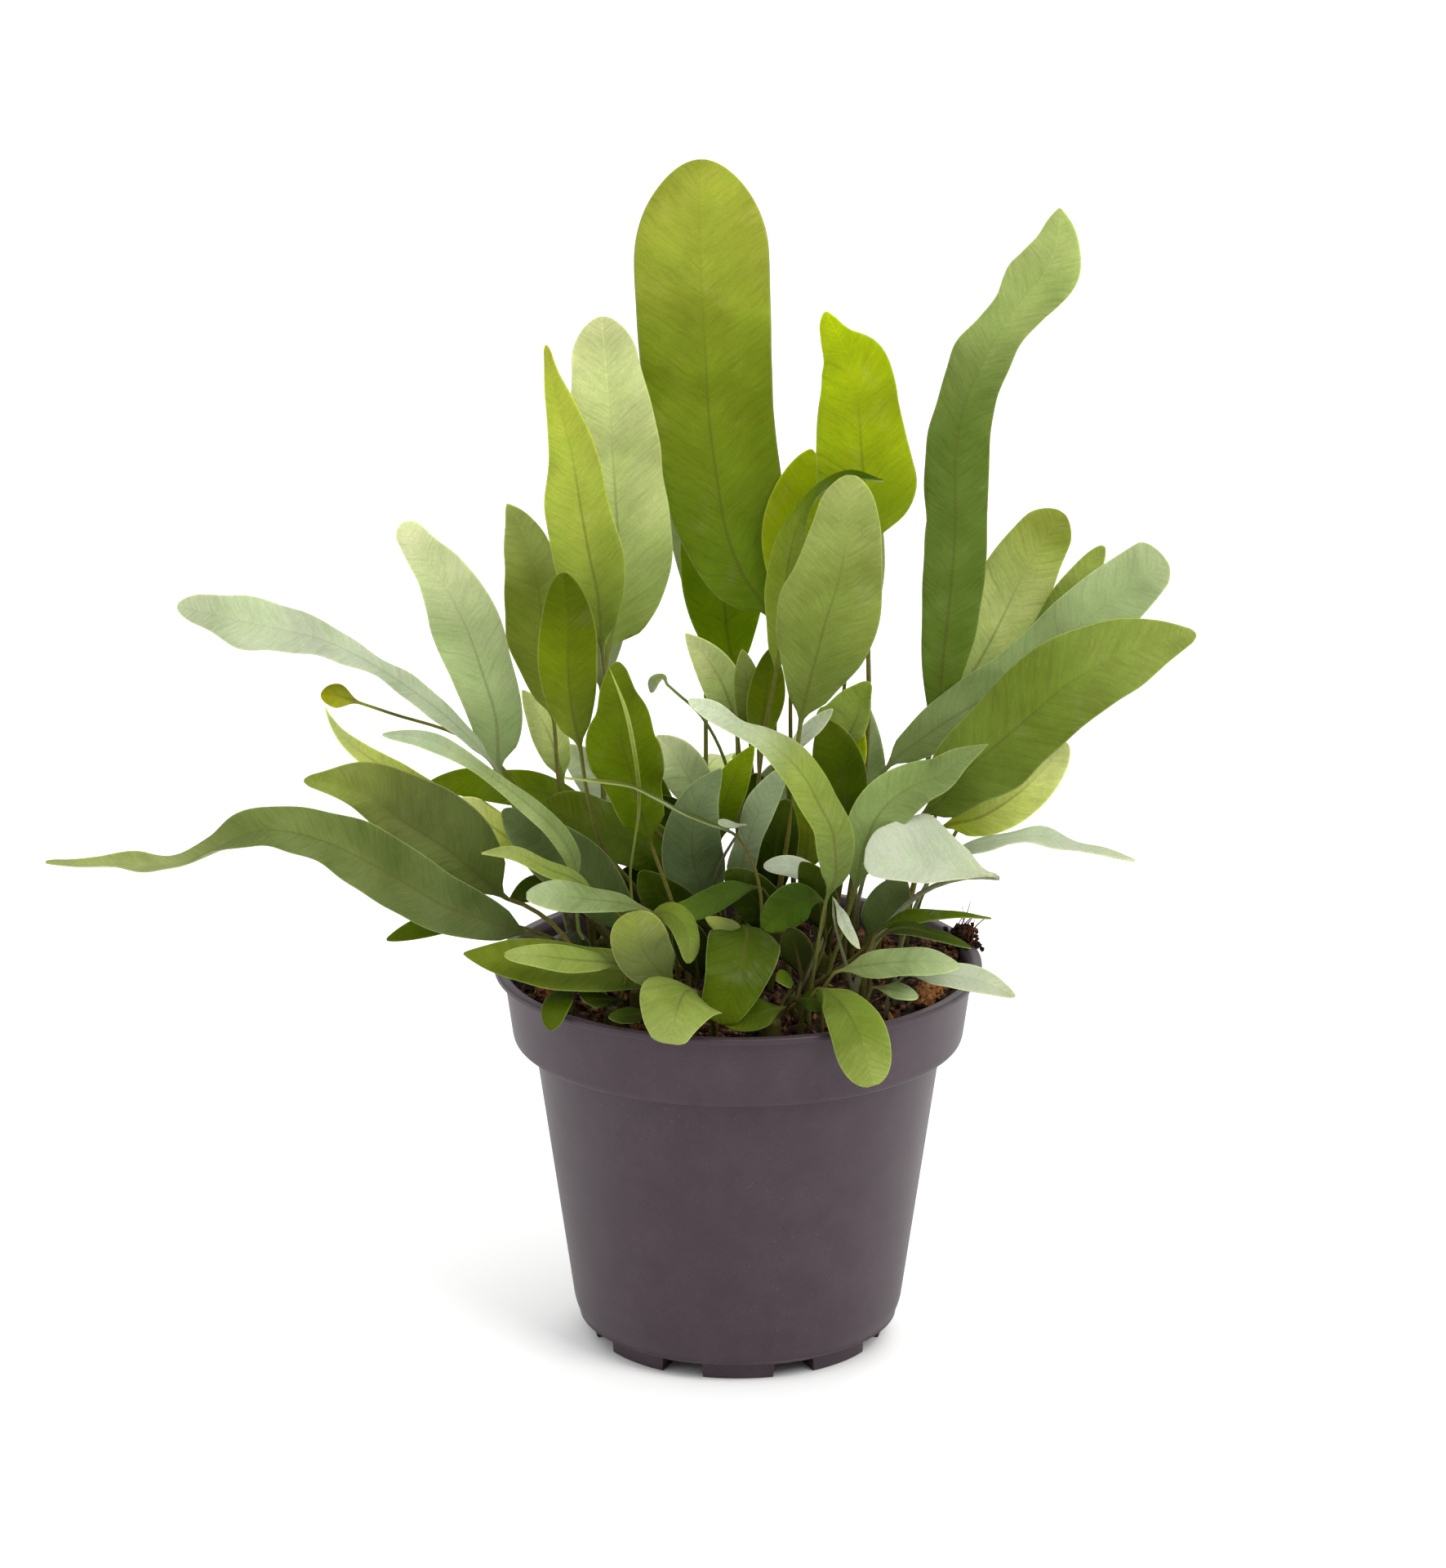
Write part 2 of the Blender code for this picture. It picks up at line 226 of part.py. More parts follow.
# Young or half-hidden fronds, fused two to four together on a common crown
TUFTS = [
    Tuft("tuft_inner_left", (-34, 21), [
        Frond("", (-1, 0), [(-40, 17, 116)],
              [(-43, 16, 139), (-44, 16, 147), (-48, 15, 156), (-53, 15, 160)],
              4.2, 0.5, 1.2, CAMERA_SIDE, 0.1, 0.4, 1.5, "pale"),
        Frond("", (1, 0), [(-31, 21, 110)],
              [(-29, 21, 126), (-34, 21, 135), (-39, 21, 140), (-44, 21, 144)],
              4.0, 0.5, 1.3, CAMERA_SIDE, 0.1, 0.4, 1.5, "glaucous"),
        Frond("", (-1, -1), [(-43, 16, 120)],
              [(-46, 12, 131), (-55, 12, 135), (-64, 12, 136), (-77, 12, 137)],
              4.2, 0.5, 1.5, ((0, -0.75, 0.65),), 0.05, 0.5, 2.0, "bright"),
    ]),
    Tuft("tuft_inner_right", (21, 8), [
        Frond("", (1, 1), [(24, 10, 126)],
              [(25, 8, 146), (27, 8, 154), (30, 8, 161), (33, 8, 168)],
              5.0, 0.5, 1.4, CAMERA_SIDE, 0.1, 0.5, 1.5, "yellow"),
        Frond("", (-1, -1), [(22, 3, 116)],
              [(23, 2, 134), (23, 2, 144), (23, 2, 153)],
              3.6, 0.5, 1.4, CAMERA_SIDE, 0.1, 0.4, 1.5, "dark"),
        Frond("", (0, 1.2), [(27, 18, 113)],
              [(31, 22, 125), (32, 22, 140), (32, 22, 154)],
              3.4, 0.5, 1.5, CAMERA_SIDE, 0.1, 0.4, 1.5, "pale"),
    ]),
    Tuft("tuft_centre", (-2, 0), [
        Frond("", (-1, 1), [(-5, 6, 116)],
              [(-9, 9, 133), (-13, 9, 140), (-17, 9, 145), (-20, 9, 150)],
              4.5, 0.5, 1.5, CAMERA_SIDE, 0.1, 0.5, 1.5, "pale"),
        Frond("", (1, -1), [(-3, -4, 116)],
              [(-5, -5, 131), (-3, -5, 138), (-1, -5, 144), (2, -5, 150)],
              3.4, 0.5, 1.3, CAMERA_SIDE, 0.1, 0.4, 1.5, "olive"),
    ]),
    Tuft("tuft_behind", (2, 20), [
        Frond("", (-1, 0), [(1, 21, 133)],
              [(-1, 20, 153), (-4, 20, 162), (-8, 20, 169), (-12, 20, 172)],
              4.2, 0.5, 1.6, CAMERA_SIDE, 0.1, 0.4, 1.5, "pale"),
        Frond("", (1, 0), [(5, 18, 133)],
              [(4, 17, 148), (4, 16, 158), (3, 16, 167)],
              2.4, 0.6, 1.5, ((0.3, -0.9, 0.2),), 0.1, 0.2, 1.5, "glaucous"),
        Frond("", (1, -1), [(6, 14, 123)],
              [(5, 13.5, 146), (6, 13.5, 154), (7, 13.5, 161), (8, 13.5, 172)],
              4.2, 0.5, 1.4, ((0.1, -1, 0.2),), 0.1, 0.5, 1.5, "dark"),
    ]),
    Tuft("tuft_low_left", (-24, -18), [
        Frond("", (-1, 0), [(-28, -18, 112)],
              [(-30, -17, 118), (-36, -17, 123), (-44, -17, 129), (-51, -17, 134), (-56, -17, 138)],
              5.6, 0.5, 1.4, CAMERA_SIDE, 0.05, 0.6, 2.0, "grey_green"),
        Frond("", (0.5, -1), [(-27, -24, 113)],
              [(-33, -27, 120), (-39, -27, 125), (-46, -27, 128), (-54, -27, 132), (-62, -27, 132)],
              2.6, 0.5, 1.2, ((0, -0.6, 0.8),), 0.1, 0.4, 1.5, "green"),
        Frond("", (-1, 1), [(-36, -14, 110)],
              [(-39, -14, 120), (-40, -14, 125), (-44, -14, 131), (-52, -14, 139), (-60, -14, 146),
               (-68, -14, 151), (-74, -14, 155), (-80, -14, 157), (-86, -14, 158)],
              2.8, 0.6, 1.3, ((0.3, -0.9, 0.3), (0, -0.7, 0.7)), 0.1, 0.4, 2.0, "glaucous"),
        Frond("", (-1, 1.5), [(-44, -12, 105)],
              [(-56, -11, 109), (-66, -10, 110), (-76, -10, 108), (-86, -10, 104.5)],
              3.0, 0.5, 1.5, ((0, -0.8, 0.6),), 0.1, 0.3, 1.5, "dark"),
    ]),
    Tuft("tuft_low_centre", (14, -24), [
        Frond("", (0, -1), [(19, -26, 110)],
              [(20, -26, 120), (17, -27, 117), (12, -27, 114), (7, -27, 112)],
              3.4, 0.5, 1.4, CAMERA_SIDE, 0.05, 0.3, 1.5, "green"),
        Frond("", (1, 1), [(18, -20, 116)],
              [(18, -19, 124), (13, -18, 126), (8, -18, 125)],
              2.4, 0.5, 1.6, ((0, -0.7, 0.7),), 0.05, 0.2, 1.0, "whitish"),
        Frond("", (-1, 1), [(9, -21, 114)],
              [(6, -24, 122), (-1, -25, 122), (-7, -25, 119), (-12, -25, 117), (-17, -25, 117)],
              3.2, 0.6, 1.6, ((0, -0.8, 0.6),), 0.05, 0.3, 1.5, "green"),
    ]),
    Tuft("tuft_grey", (-1, -11), [
        Frond("", (-1, 0), [],
              [(-8, -12, 114), (-9, -12, 119), (-10, -12, 126), (-11, -12, 133), (-11, -12, 139),
               (-8, -12, 144), (-5, -12, 149)],
              6.2, 0.35, 1.1, ((0, -0.95, 0.3),), 0.1, 0.6, 2.0, "grey_green"),
        Frond("", (1, 0), [],
              [(3, -11, 110), (4, -11, 126), (5, -11, 136), (7, -11, 145), (10, -12, 154)],
              4.0, 0.55, 1.6, ((0.1, -1, 0.2),), 0.1, 0.5, 2.0, "grey_green"),
    ]),
    Tuft("tuft_edge_on", (5, -26), [
        Frond("", (0, -1), [(5, -29, 124)],
              [(0, -29, 134), (-7, -29, 138), (-15, -29, 141), (-23, -29, 145), (-32, -29, 149),
               (-42, -29, 151)],
              3.0, 0.5, 1.2, ((0, 0.2, 1),), 0.05, 0.3, 2.0, "dark"),
        Frond("", (-1, 1), [(0, -20, 132), (-3, -18, 148), (-7, -17, 159), (-12, -16, 165)],
              [(-17, -16, 171), (-18, -16, 173), (-20, -16, 172), (-21, -16, 169)],
              2.2, 0.5, 1.6, ((0.2, -0.5, 0.8), (-0.8, -0.5, 0.3)), 0.1, 0.1, 1.0, "green"),
    ]),
    Tuft("tuft_left_rim", (-30, -35), [
        Frond("", (-1, 0), [(-36, -35, 100)],
              [(-39, -36, 101.5), (-42, -40, 100.5), (-44, -44, 98), (-45, -46, 93.5)],
              3.6, 0.55, 1.6, ((-0.3, -0.7, 0.7), (-0.4, -0.9, 0.2)), 0.05, 0.2, 1.0, "dark"),
        Frond("", (1, -1), [(-30, -44, 105)],
              [(-31, -48, 111), (-36, -49, 113), (-42, -49, 113), (-49, -48, 113), (-55, -47, 113)],
              3.0, 0.5, 1.7, ((0, -0.7, 0.7),), 0.05, 0.3, 1.5, "pale_green"),
    ]),
    Tuft("tuft_front_left", (-18, -38), [
        Frond("", (1, -1), [(-17, -45, 101)],
              [(-18, -47, 105), (-21, -48, 109), (-23, -48, 116), (-24, -47, 124)],
              6.8, 0.5, 2.0, ((0.1, -0.95, 0.3),), 0.05, 0.5, 1.5, "grey_green"),
        Frond("", (-1, 1), [(-22, -40, 110)],
              [(-21, -41, 117), (-18, -42, 121), (-14, -43, 120), (-12, -44, 115), (-12, -45, 110)],
              3.6, 0.5, 1.6, ((0.3, -0.7, 0.7), (0.6, -0.7, 0.5)), 0.1, 0.3, 1.5, "glaucous"),
    ]),
    Tuft("tuft_front", (8, -42), [
        Frond("", (0, -1), [(9, -45, 99)],
              [(10, -48, 100.5), (6, -50, 100.5), (2, -51, 100)],
              2.8, 0.5, 1.6, ((0, -0.6, 0.8),), 0.05, 0.2, 1.0, "dark"),
        Frond("", (1, 0), [(11, -42, 101)],
              [(11, -44, 102), (11, -47, 105), (12, -50, 104)],
              2.6, 0.5, 1.4, ((0, -0.6, 0.8),), 0.05, 0.2, 1.0, "grey_green"),
    ]),
    Tuft("tuft_low_right", (30, -37), [
        Frond("", (0, 1), [(33, -34, 106)],
              [(35, -33, 112), (42, -33, 116), (51, -33, 118), (61, -33, 117)],
              3.6, 0.45, 1.1, ((0, -0.4, 0.9),), 0.05, 0.3, 1.5, "dark"),
        Frond("", (1, -1), [(32, -39, 108)],
              [(34, -39, 115), (40, -39, 116), (50, -39, 115), (57, -39, 111)],
              2.6, 0.5, 1.1, ((0, -0.5, 0.9),), 0.05, 0.3, 1.5, "dark"),
    ]),
    Tuft("tuft_back_low", (-18, 38), [
        Frond("", (-1, 0), [(-24, 44, 106)],
              [(-28, 50, 111), (-35, 60, 111), (-42, 70, 106), (-48, 80, 98)],
              6.0, 0.5, 1.6, ((-0.2, 0.4, 0.9),), 0.1, 0.6, 2.0, "green"),
        Frond("", (0, 1), [(-18, 46, 108)],
              [(-18, 53, 114), (-17, 63, 114), (-16, 75, 108), (-15, 86, 98)],
              6.4, 0.5, 1.6, ((0, 0.4, 0.9),), 0.1, 0.6, 2.0, "olive"),
        Frond("", (1, 0), [(-12, 43, 116)],
              [(-10, 48, 124), (-8, 55, 128), (-5, 64, 129), (-2, 74, 126)],
              4.6, 0.5, 1.4, ((0, 0.3, 0.9),), 0.1, 0.5, 2.0, "pale"),
    ]),
]

# Fronds behind, which the picture hides
BACK_FRONDS = [
    Frond("frond_back_tall", (-8, 38), [(-8, 46, 138)],
          [(-8, 52, 163), (-8, 54, 183), (-9, 56, 203), (-10, 58, 223), (-11, 60, 238)],
          9.5, 0.5, 1.7, ((0, 1, 0.2),), 0.1, 1.2, 2.5, "glaucous"),
    Frond("frond_back_left", (-24, 28), [(-30, 36, 128)],
          [(-34, 41, 153), (-35, 43, 170), (-35, 44, 188), (-36, 45, 210)],
          9.0, 0.5, 1.5, ((-0.1, 1, 0.2),), 0.1, 1.0, 2.5, "green"),
    Frond("frond_back_right", (22, 34), [(25, 42, 133)],
          [(27, 46, 158), (28, 47, 176), (28, 48, 193), (28, 49, 211)],
          8.5, 0.5, 1.6, ((0.1, 1, 0.2),), 0.1, 1.0, 2.5, "pale_green"),
    Frond("frond_back_far_right", (36, 36), [(45, 46, 123)],
          [(52, 54, 148), (53, 56, 168), (53, 58, 188), (53, 59, 208)],
          7.0, 0.5, 1.4, ((0.2, 1, 0.2),), 0.1, 1.0, 2.5, "green"),
    Frond("frond_back_reaching_right", (44, 30), [(54, 38, 116)],
          [(62, 45, 126), (72, 52, 138), (82, 57, 147), (92, 60, 152)],
          6.5, 0.5, 1.4, ((0.1, 0.3, 0.9),), 0.1, 0.8, 2.5, "glaucous"),
    Frond("frond_back_reaching_left", (-40, 30), [(-48, 36, 108)],
          [(-56, 40, 112), (-68, 44, 114), (-80, 48, 113), (-94, 50, 108)],
          6.5, 0.5, 1.4, ((0, 0.3, 0.9),), 0.1, 0.8, 2.5, "grey_green"),
    Frond("frond_back_over_rim", (6, 42), [(6, 48, 106)],
          [(6, 54, 111), (8, 65, 112), (10, 77, 106), (12, 88, 95)],
          7.0, 0.5, 1.6, ((0, 0.4, 0.9),), 0.1, 0.8, 2.0, "green"),
    Frond("frond_back_low_right", (30, 42), [(33, 47, 106)],
          [(36, 53, 110), (43, 63, 110), (49, 73, 104), (54, 82, 95)],
          6.2, 0.5, 1.5, ((0.2, 0.4, 0.9),), 0.1, 0.7, 2.0, "yellow"),
]

RHIZOMES = {
    "rhizome_left": (152, 198),
    "rhizome_right": (-22, 8),
}

TONES = {
    "olive": (0.25, 0.29, 0.05),
    "green": (0.16, 0.26, 0.05),
    "pale": (0.42, 0.52, 0.33),
    "pale_green": (0.30, 0.39, 0.13),
    "yellow": (0.38, 0.42, 0.08),
    "bright": (0.30, 0.38, 0.02),
    "dark": (0.08, 0.16, 0.02),
    "glaucous": (0.20, 0.31, 0.18),
    "grey_green": (0.17, 0.27, 0.11),
    "whitish": (0.55, 0.62, 0.44),
}
POT_COLOR = (0.065, 0.054, 0.06)
SOIL_COLOR = (0.03, 0.016, 0.01)
RHIZOME_COLOR = (0.22, 0.11, 0.03)


def unit(vectors):
    """Vectors scaled to length one."""
    return vectors / np.linalg.norm(vectors, axis=-1, keepdims=True)


def smooth_path(points):
    """A dense smooth curve that leaves the first point straight up and runs through all the others."""
    points = np.array(points, float)
    chords = np.linalg.norm(np.diff(points, axis=0), axis=1)
    knots = np.concatenate([[0], np.cumsum(np.sqrt(chords))])
    slopes = np.gradient(points, knots, axis=0, edge_order=1)
    slopes[0] = (0, 0, np.linalg.norm(slopes[0]))
    samples = np.linspace(0, knots[-1], 16 * len(knots))
    k = np.clip(np.searchsorted(knots, samples, side="right") - 1, 0, len(knots) - 2)
    span = (knots[k + 1] - knots[k])[:, None]
    u = (samples - knots[k])[:, None] / span
    return (
        (2 * u**3 - 3 * u**2 + 1) * points[k]
        + (u**3 - 2 * u**2 + u) * span * slopes[k]
        + (3 * u**2 - 2 * u**3) * points[k + 1]
        + (u**3 - u**2) * span * slopes[k + 1]
    )


def lengths_along(path):
    steps = np.linalg.norm(np.diff(path, axis=0), axis=1)
    return np.concatenate([[0], np.cumsum(steps)])


def at_lengths(path, along, wanted):
    """Points and unit tangents of a dense path at the wanted lengths from its start."""
    place = np.stack([np.interp(wanted, along, path[:, a]) for a in range(3)], axis=1)
    ahead = np.stack([np.interp(wanted + 0.6, along, path[:, a]) for a in range(3)], axis=1)
    behind = np.stack([np.interp(wanted - 0.6, along, path[:, a]) for a in range(3)], axis=1)
    return place, unit(ahead - behind)


def half_widths(frond, t):
    """Left and right half-widths at shares t of the blade.

    One number swells to the belly and then closes to a round or pointed tip. Two lists give the two sides at
    even shares, and an elliptic end closes them over the last share that tip names.
    """
    if isinstance(frond.width, tuple):
        end = np.clip((t - 1 + frond.tip) / frond.tip, 0, 1)
        close = np.sqrt(1 - end**2)
        at = np.linspace(0, 1, len(frond.width[0]))
        return [np.interp(t, at, side) * close for side in frond.width]
    rise = np.sin(np.pi / 2 * np.clip(t / frond.belly, 0, 1)) ** 0.8
    beyond = np.clip((t - frond.belly) / (1 - frond.belly), 0, 1)
    fall = (1 - beyond ** (frond.tip + 0.6)) ** (1 / frond.tip)
    return [frond.width * rise * fall] * 2


def widest(frond):
    return max(map(max, frond.width)) if isinstance(frond.width, tuple) else frond.width


def facing_along(frond, t):
    """The direction that the upper face looks to, turning evenly through the frond's facing list."""
    facing = unit(np.array(frond.facing, float))
    at = np.linspace(0, 1, len(facing)) if len(facing) > 1 else np.array([0.0])
    return unit(np.stack([np.interp(t, at, facing[:, a]) for a in range(3)], axis=1))


def ruffle_height(frond, phase, t, v):
    """The waved margins: a sine along each side that grows towards the edge and fades at both ends."""
    fade = np.sin(np.pi * np.clip(t, 0, 1)) ** 0.5
    wave = np.sin(2 * np.pi * (frond.waves * t[:, None] + phase + np.where(v > 0, 0.35, 0.0)))
    return frond.ruffle * fade[:, None] * wave * v**2


def lofted_frond(frond, phase, start, radius, columns):
    """Vertices and faces of one frond as a closed loft of a top row and a bottom row at each station."""
    path = smooth_path([start] + list(frond.stem) + list(frond.blade))
    along = lengths_along(path)
    base = np.array(frond.blade[0], float)
    nearest = np.argmin(np.linalg.norm(path - base, axis=1))
    stem_length = along[nearest]
    blade_length = along[-1] - stem_length
    stem_count = max(2, int(round(stem_length / STEM_STEP)))
    blade_count = int(np.clip(round(blade_length / BLADE_STEP), 4, 13))
    t = 1 - (1 - np.linspace(0, 1, blade_count + 1)) ** 1.15
    place, tangent = at_lengths(path, along, stem_length + t * blade_length)
    side = unit(np.cross(tangent, facing_along(frond, t)))
    up = np.cross(side, tangent)
    rows = []
    stem_place, stem_tangent = at_lengths(path, along, np.linspace(0, stem_length, stem_count + 1)[:-1])
    stem_tangent[0] = (0, 0, 1)
    carried = side[0]
    angles = np.radians([150, 90, 30])
    for p, direction in reversed(list(zip(stem_place, stem_tangent))):
        carried = carried - direction * (carried @ direction)
        carried = carried / np.linalg.norm(carried)
        normal = np.cross(carried, direction)
        top = [p + radius * (math.cos(a) * carried + math.sin(a) * normal) for a in angles]
        bottom = [p + radius * (math.cos(a) * carried - math.sin(a) * normal) for a in angles]
        rows.insert(0, (top, bottom))
    foot_side = carried
    v = np.linspace(-1, 1, columns)
    left, right = [np.maximum(half, radius * 1.1 * (1 - t))[:, None] for half in half_widths(frond, t)]
    across = np.where(v < 0, left, right) * v
    height = frond.fold * np.abs(across) * np.abs(v) ** 0.4 + ruffle_height(frond, phase, t, v[None, :])
    rib = MIDRIB_DEPTH * (1 - t) ** 0.7
    for i in range(blade_count):
        middle = place[i] + np.outer(across[i], side[i]) + np.outer(height[i], up[i])
        half = BLADE_HALF_THICKNESS * up[i]
        under = np.outer(np.where(np.abs(v) < 0.01, rib[i], 0), up[i])
        rows.append((list(middle + half), list(middle - half - under)))
    rows.append(([place[-1] + BLADE_HALF_THICKNESS * up[-1]], [place[-1] - BLADE_HALF_THICKNESS * up[-1]]))
    return rows, foot_side


def row_strip(near, far):
    """Triangles between two rows of vertex numbers, always stepping the row that lags behind."""
    faces = []
    i = j = 0
    while i < len(near) - 1 or j < len(far) - 1:
        near_share = (i + 1) / max(len(near) - 1, 1) if i < len(near) - 1 else math.inf
        far_share = (j + 1) / max(len(far) - 1, 1) if j < len(far) - 1 else math.inf
        if near_share <= far_share:
            faces.append((near[i], near[i + 1], far[j]))
            i += 1
        else:
            faces.append((near[i], far[j + 1], far[j]))
            j += 1
    return faces


def closed_rows(rows):
    """Joins a list of (top row, bottom row) into one closed skin."""
    vertices = []
    numbered = []
    for top, bottom in rows:
        first = len(vertices)
        vertices += top + bottom
        numbered.append((list(range(first, first + len(top))),
                         list(range(first + len(top), first + len(top) + len(bottom)))))
    faces = [tuple(reversed(numbered[0][0])) + tuple(numbered[0][1])]
    for (top_a, bottom_a), (top_b, bottom_b) in zip(numbered, numbered[1:]):
        faces += row_strip(top_a, top_b)
        faces += [tuple(reversed(face)) for face in row_strip(bottom_a, bottom_b)]
        faces.append((top_a[-1], bottom_a[-1], bottom_b[-1]))
        faces.append((top_a[-1], bottom_b[-1], top_b[-1]))
        faces.append((top_a[0], bottom_b[0], bottom_a[0]))
        faces.append((top_a[0], top_b[0], bottom_b[0]))
    return vertices, faces


def material(name, color, roughness):
    made = bpy.data.materials.new(name)
    made.use_nodes = True
    shader = made.node_tree.nodes["Principled BSDF"]
    shader.inputs["Base Color"].default_value = (*color, 1)
    shader.inputs["Roughness"].default_value = roughness
    shader.inputs["Metallic"].default_value = 0.0
    made.diffuse_color = (*color, 1)
    return made


def mesh_object(name, vertices, faces, made_of=None):
    """A new object from millimetre vertices."""
    mesh = bpy.data.meshes.new(name)
    mesh.from_pydata([tuple(float(c) * MM for c in vertex) for vertex in vertices], [], faces)
    mesh.validate()
    new = bpy.data.objects.new(name, mesh)
    bpy.context.scene.collection.objects.link(new)
    if made_of:
        mesh.materials.append(made_of)
    return new


def shade(thing, angle=40):
    thing.data.shade_smooth()
    thing.data.set_sharp_from_angle(angle=math.radians(angle))


def hide_cutter(cutter):
    cutter.hide_render = True
    cutter.display_type = "WIRE"


def boolean(thing, operation, others, solver="EXACT"):
    """Applies one Boolean with a collection of others, which are then removed."""
    group = bpy.data.collections.new(thing.name + "_" + operation.lower())
    for other in others:
        group.objects.link(other)
    change = thing.modifiers.new(operation.lower(), "BOOLEAN")
    change.operation = operation
    change.operand_type = "COLLECTION"
    change.collection = group
    change.solver = solver
    bpy.context.view_layer.update()
    graph = bpy.context.evaluated_depsgraph_get()
    result = bpy.data.meshes.new_from_object(thing.evaluated_get(graph))
    thing.modifiers.clear()
    thing.data = result
    for other in others:
        bpy.data.objects.remove(other)
    bpy.data.collections.remove(group)


def turned(name, profile, made_of=None):
    """Turns a closed (radius, height) outline round the Z axis; points on the axis become single vertices."""
    vertices = []
    rings = []
    for radius, z in profile:
        if radius < 0.01:
            rings.append([len(vertices)] * POT_SIDES)
            vertices.append((0, 0, z))
            continue
        rings.append(list(range(len(vertices), len(vertices) + POT_SIDES)))
        for k in range(POT_SIDES):
            angle = 2 * math.pi * k / POT_SIDES
            vertices.append((radius * math.cos(angle), radius * math.sin(angle), z))
    faces = []
    for ring_a, ring_b in zip(rings, rings[1:]):
        for k in range(POT_SIDES):
            n = (k + 1) % POT_SIDES
            face = [ring_a[k], ring_a[n], ring_b[n], ring_b[k]]
            kept = list(dict.fromkeys(face))
            if len(kept) > 2:
                faces.append(kept)
    return mesh_object(name, vertices, faces, made_of)


def prism(ring, low, high):
    """A cutter from a horizontal ring of (x, y) points."""
    count = len(ring)
    vertices = [(x, y, low) for x, y in ring] + [(x, y, high) for x, y in ring]
    faces = [tuple(reversed(range(count))), tuple(range(count, 2 * count))]
    faces += [(k, (k + 1) % count, (k + 1) % count + count, k + count) for k in range(count)]
    cutter = mesh_object("cutter", vertices, faces)
    hide_cutter(cutter)
    return cutter


def circle(x, y, radius, sides, turn=0.0):
    angles = [turn + 2 * math.pi * k / sides for k in range(sides)]
    return [(x + radius * math.cos(a), y + radius * math.sin(a)) for a in angles]


def inner_profile():
    """The pot's inner wall from the lip down to the floor's centre."""
    return [
        (LIP_INNER, POT_HEIGHT),
        (COLLAR_TOP_RADIUS - WALL, POT_HEIGHT - LIP_DEPTH),
        (COLLAR_LOW_RADIUS - WALL, COLLAR_UNDER_Z + WALL + 0.9),
        (BODY_TOP_RADIUS - WALL, COLLAR_UNDER_Z + WALL),
        (BODY_LOW_RADIUS - WALL, BODY_LOW_Z + 0.6),
        (FOOT_RADIUS, FLOOR_TOP),
        (0, FLOOR_TOP),
    ]


def make_pot():
    outer = [
        (0, 0),
        (FOOT_RADIUS, 0),
        (FOOT_RADIUS, FOOT_HEIGHT),
        (BODY_LOW_RADIUS - 1.9, FOOT_HEIGHT + 0.2),
        (BODY_LOW_RADIUS - 0.5, FOOT_HEIGHT + 1.4),
        (BODY_LOW_RADIUS, BODY_LOW_Z),
        (BODY_TOP_RADIUS, COLLAR_UNDER_Z),
        (COLLAR_LOW_RADIUS - 2.2, COLLAR_UNDER_Z + 0.1),
        (COLLAR_LOW_RADIUS - 0.6, COLLAR_UNDER_Z + 0.7),
        (COLLAR_LOW_RADIUS, COLLAR_LOW_Z),
        (COLLAR_TOP_RADIUS, POT_HEIGHT - LIP_DEPTH),
        (LIP_RADIUS - 0.1, POT_HEIGHT - LIP_DEPTH + 0.1),
        (LIP_RADIUS, POT_HEIGHT - 0.5),
        (LIP_RADIUS - 0.5, POT_HEIGHT),
    ]
    pot = turned("pot", outer + inner_profile(), material("pot_plastic", POT_COLOR, 0.45))
    cutters = []
    for k in range(GROOVES):
        angle = math.radians(360 / GROOVES * (k + 0.5))
        along = np.array((math.cos(angle), math.sin(angle)))
        across = np.array((-along[1], along[0])) * GROOVE_WIDTH / 2
        near = along * HUB_RADIUS
        far = along * BODY_TOP_RADIUS
        ring = [near - across, far - across, far + across, near + across]
        cutters.append(prism([tuple(p) for p in ring], -1, FOOT_HEIGHT - 0.2))
        x, y = along * DRAIN_AT
        cutters.append(prism(circle(x, y, DRAIN_RADIUS, 10), 1, FLOOR_TOP + 2))
    boolean(pot, "DIFFERENCE", cutters)
    shade(pot, 30)
    return pot


def soil_height(x, y):
    """The soil's top: a low mound with soft lumps."""
    away = np.hypot(x, y) / 55
    lumps = 0.7 * np.sin(x * 0.21 + 1.0) * np.cos(y * 0.17) + 0.5 * np.sin(x * 0.43 - y * 0.37)
    return SOIL_EDGE_Z + SOIL_MOUND * (1 - away**2) + lumps * (1 - away**4)


def make_soil(cutters):
    """Soil that fills the pot's inner outline less the gap, with a lumpy top and a hole for each stem."""
    wall = inner_profile()
    low = [(0, FLOOR_TOP + GAP), (FOOT_RADIUS - GAP, FLOOR_TOP + GAP), (wall[4][0] - GAP, wall[4][1] + GAP),
           (wall[3][0] - GAP, wall[3][1] + GAP), (wall[2][0] - GAP, wall[2][1] + GAP)]
    share = (SOIL_EDGE_Z - wall[2][1]) / (wall[1][1] - wall[2][1])
    edge_radius = wall[2][0] + share * (wall[1][0] - wall[2][0]) - GAP
    top = [(edge_radius, SOIL_EDGE_Z)] + [(r, 0) for r in (50, 42, 32, 20, 9, 0)]
    soil = turned("soil", low + top, material("peat", SOIL_COLOR, 0.95))
    for vertex in soil.data.vertices:
        x, y, z = np.array(vertex.co) / MM
        if z == 0:
            vertex.co.z = soil_height(x, y) * MM
    boolean(soil, "DIFFERENCE", cutters)
    shade(soil, 60)
    return soil


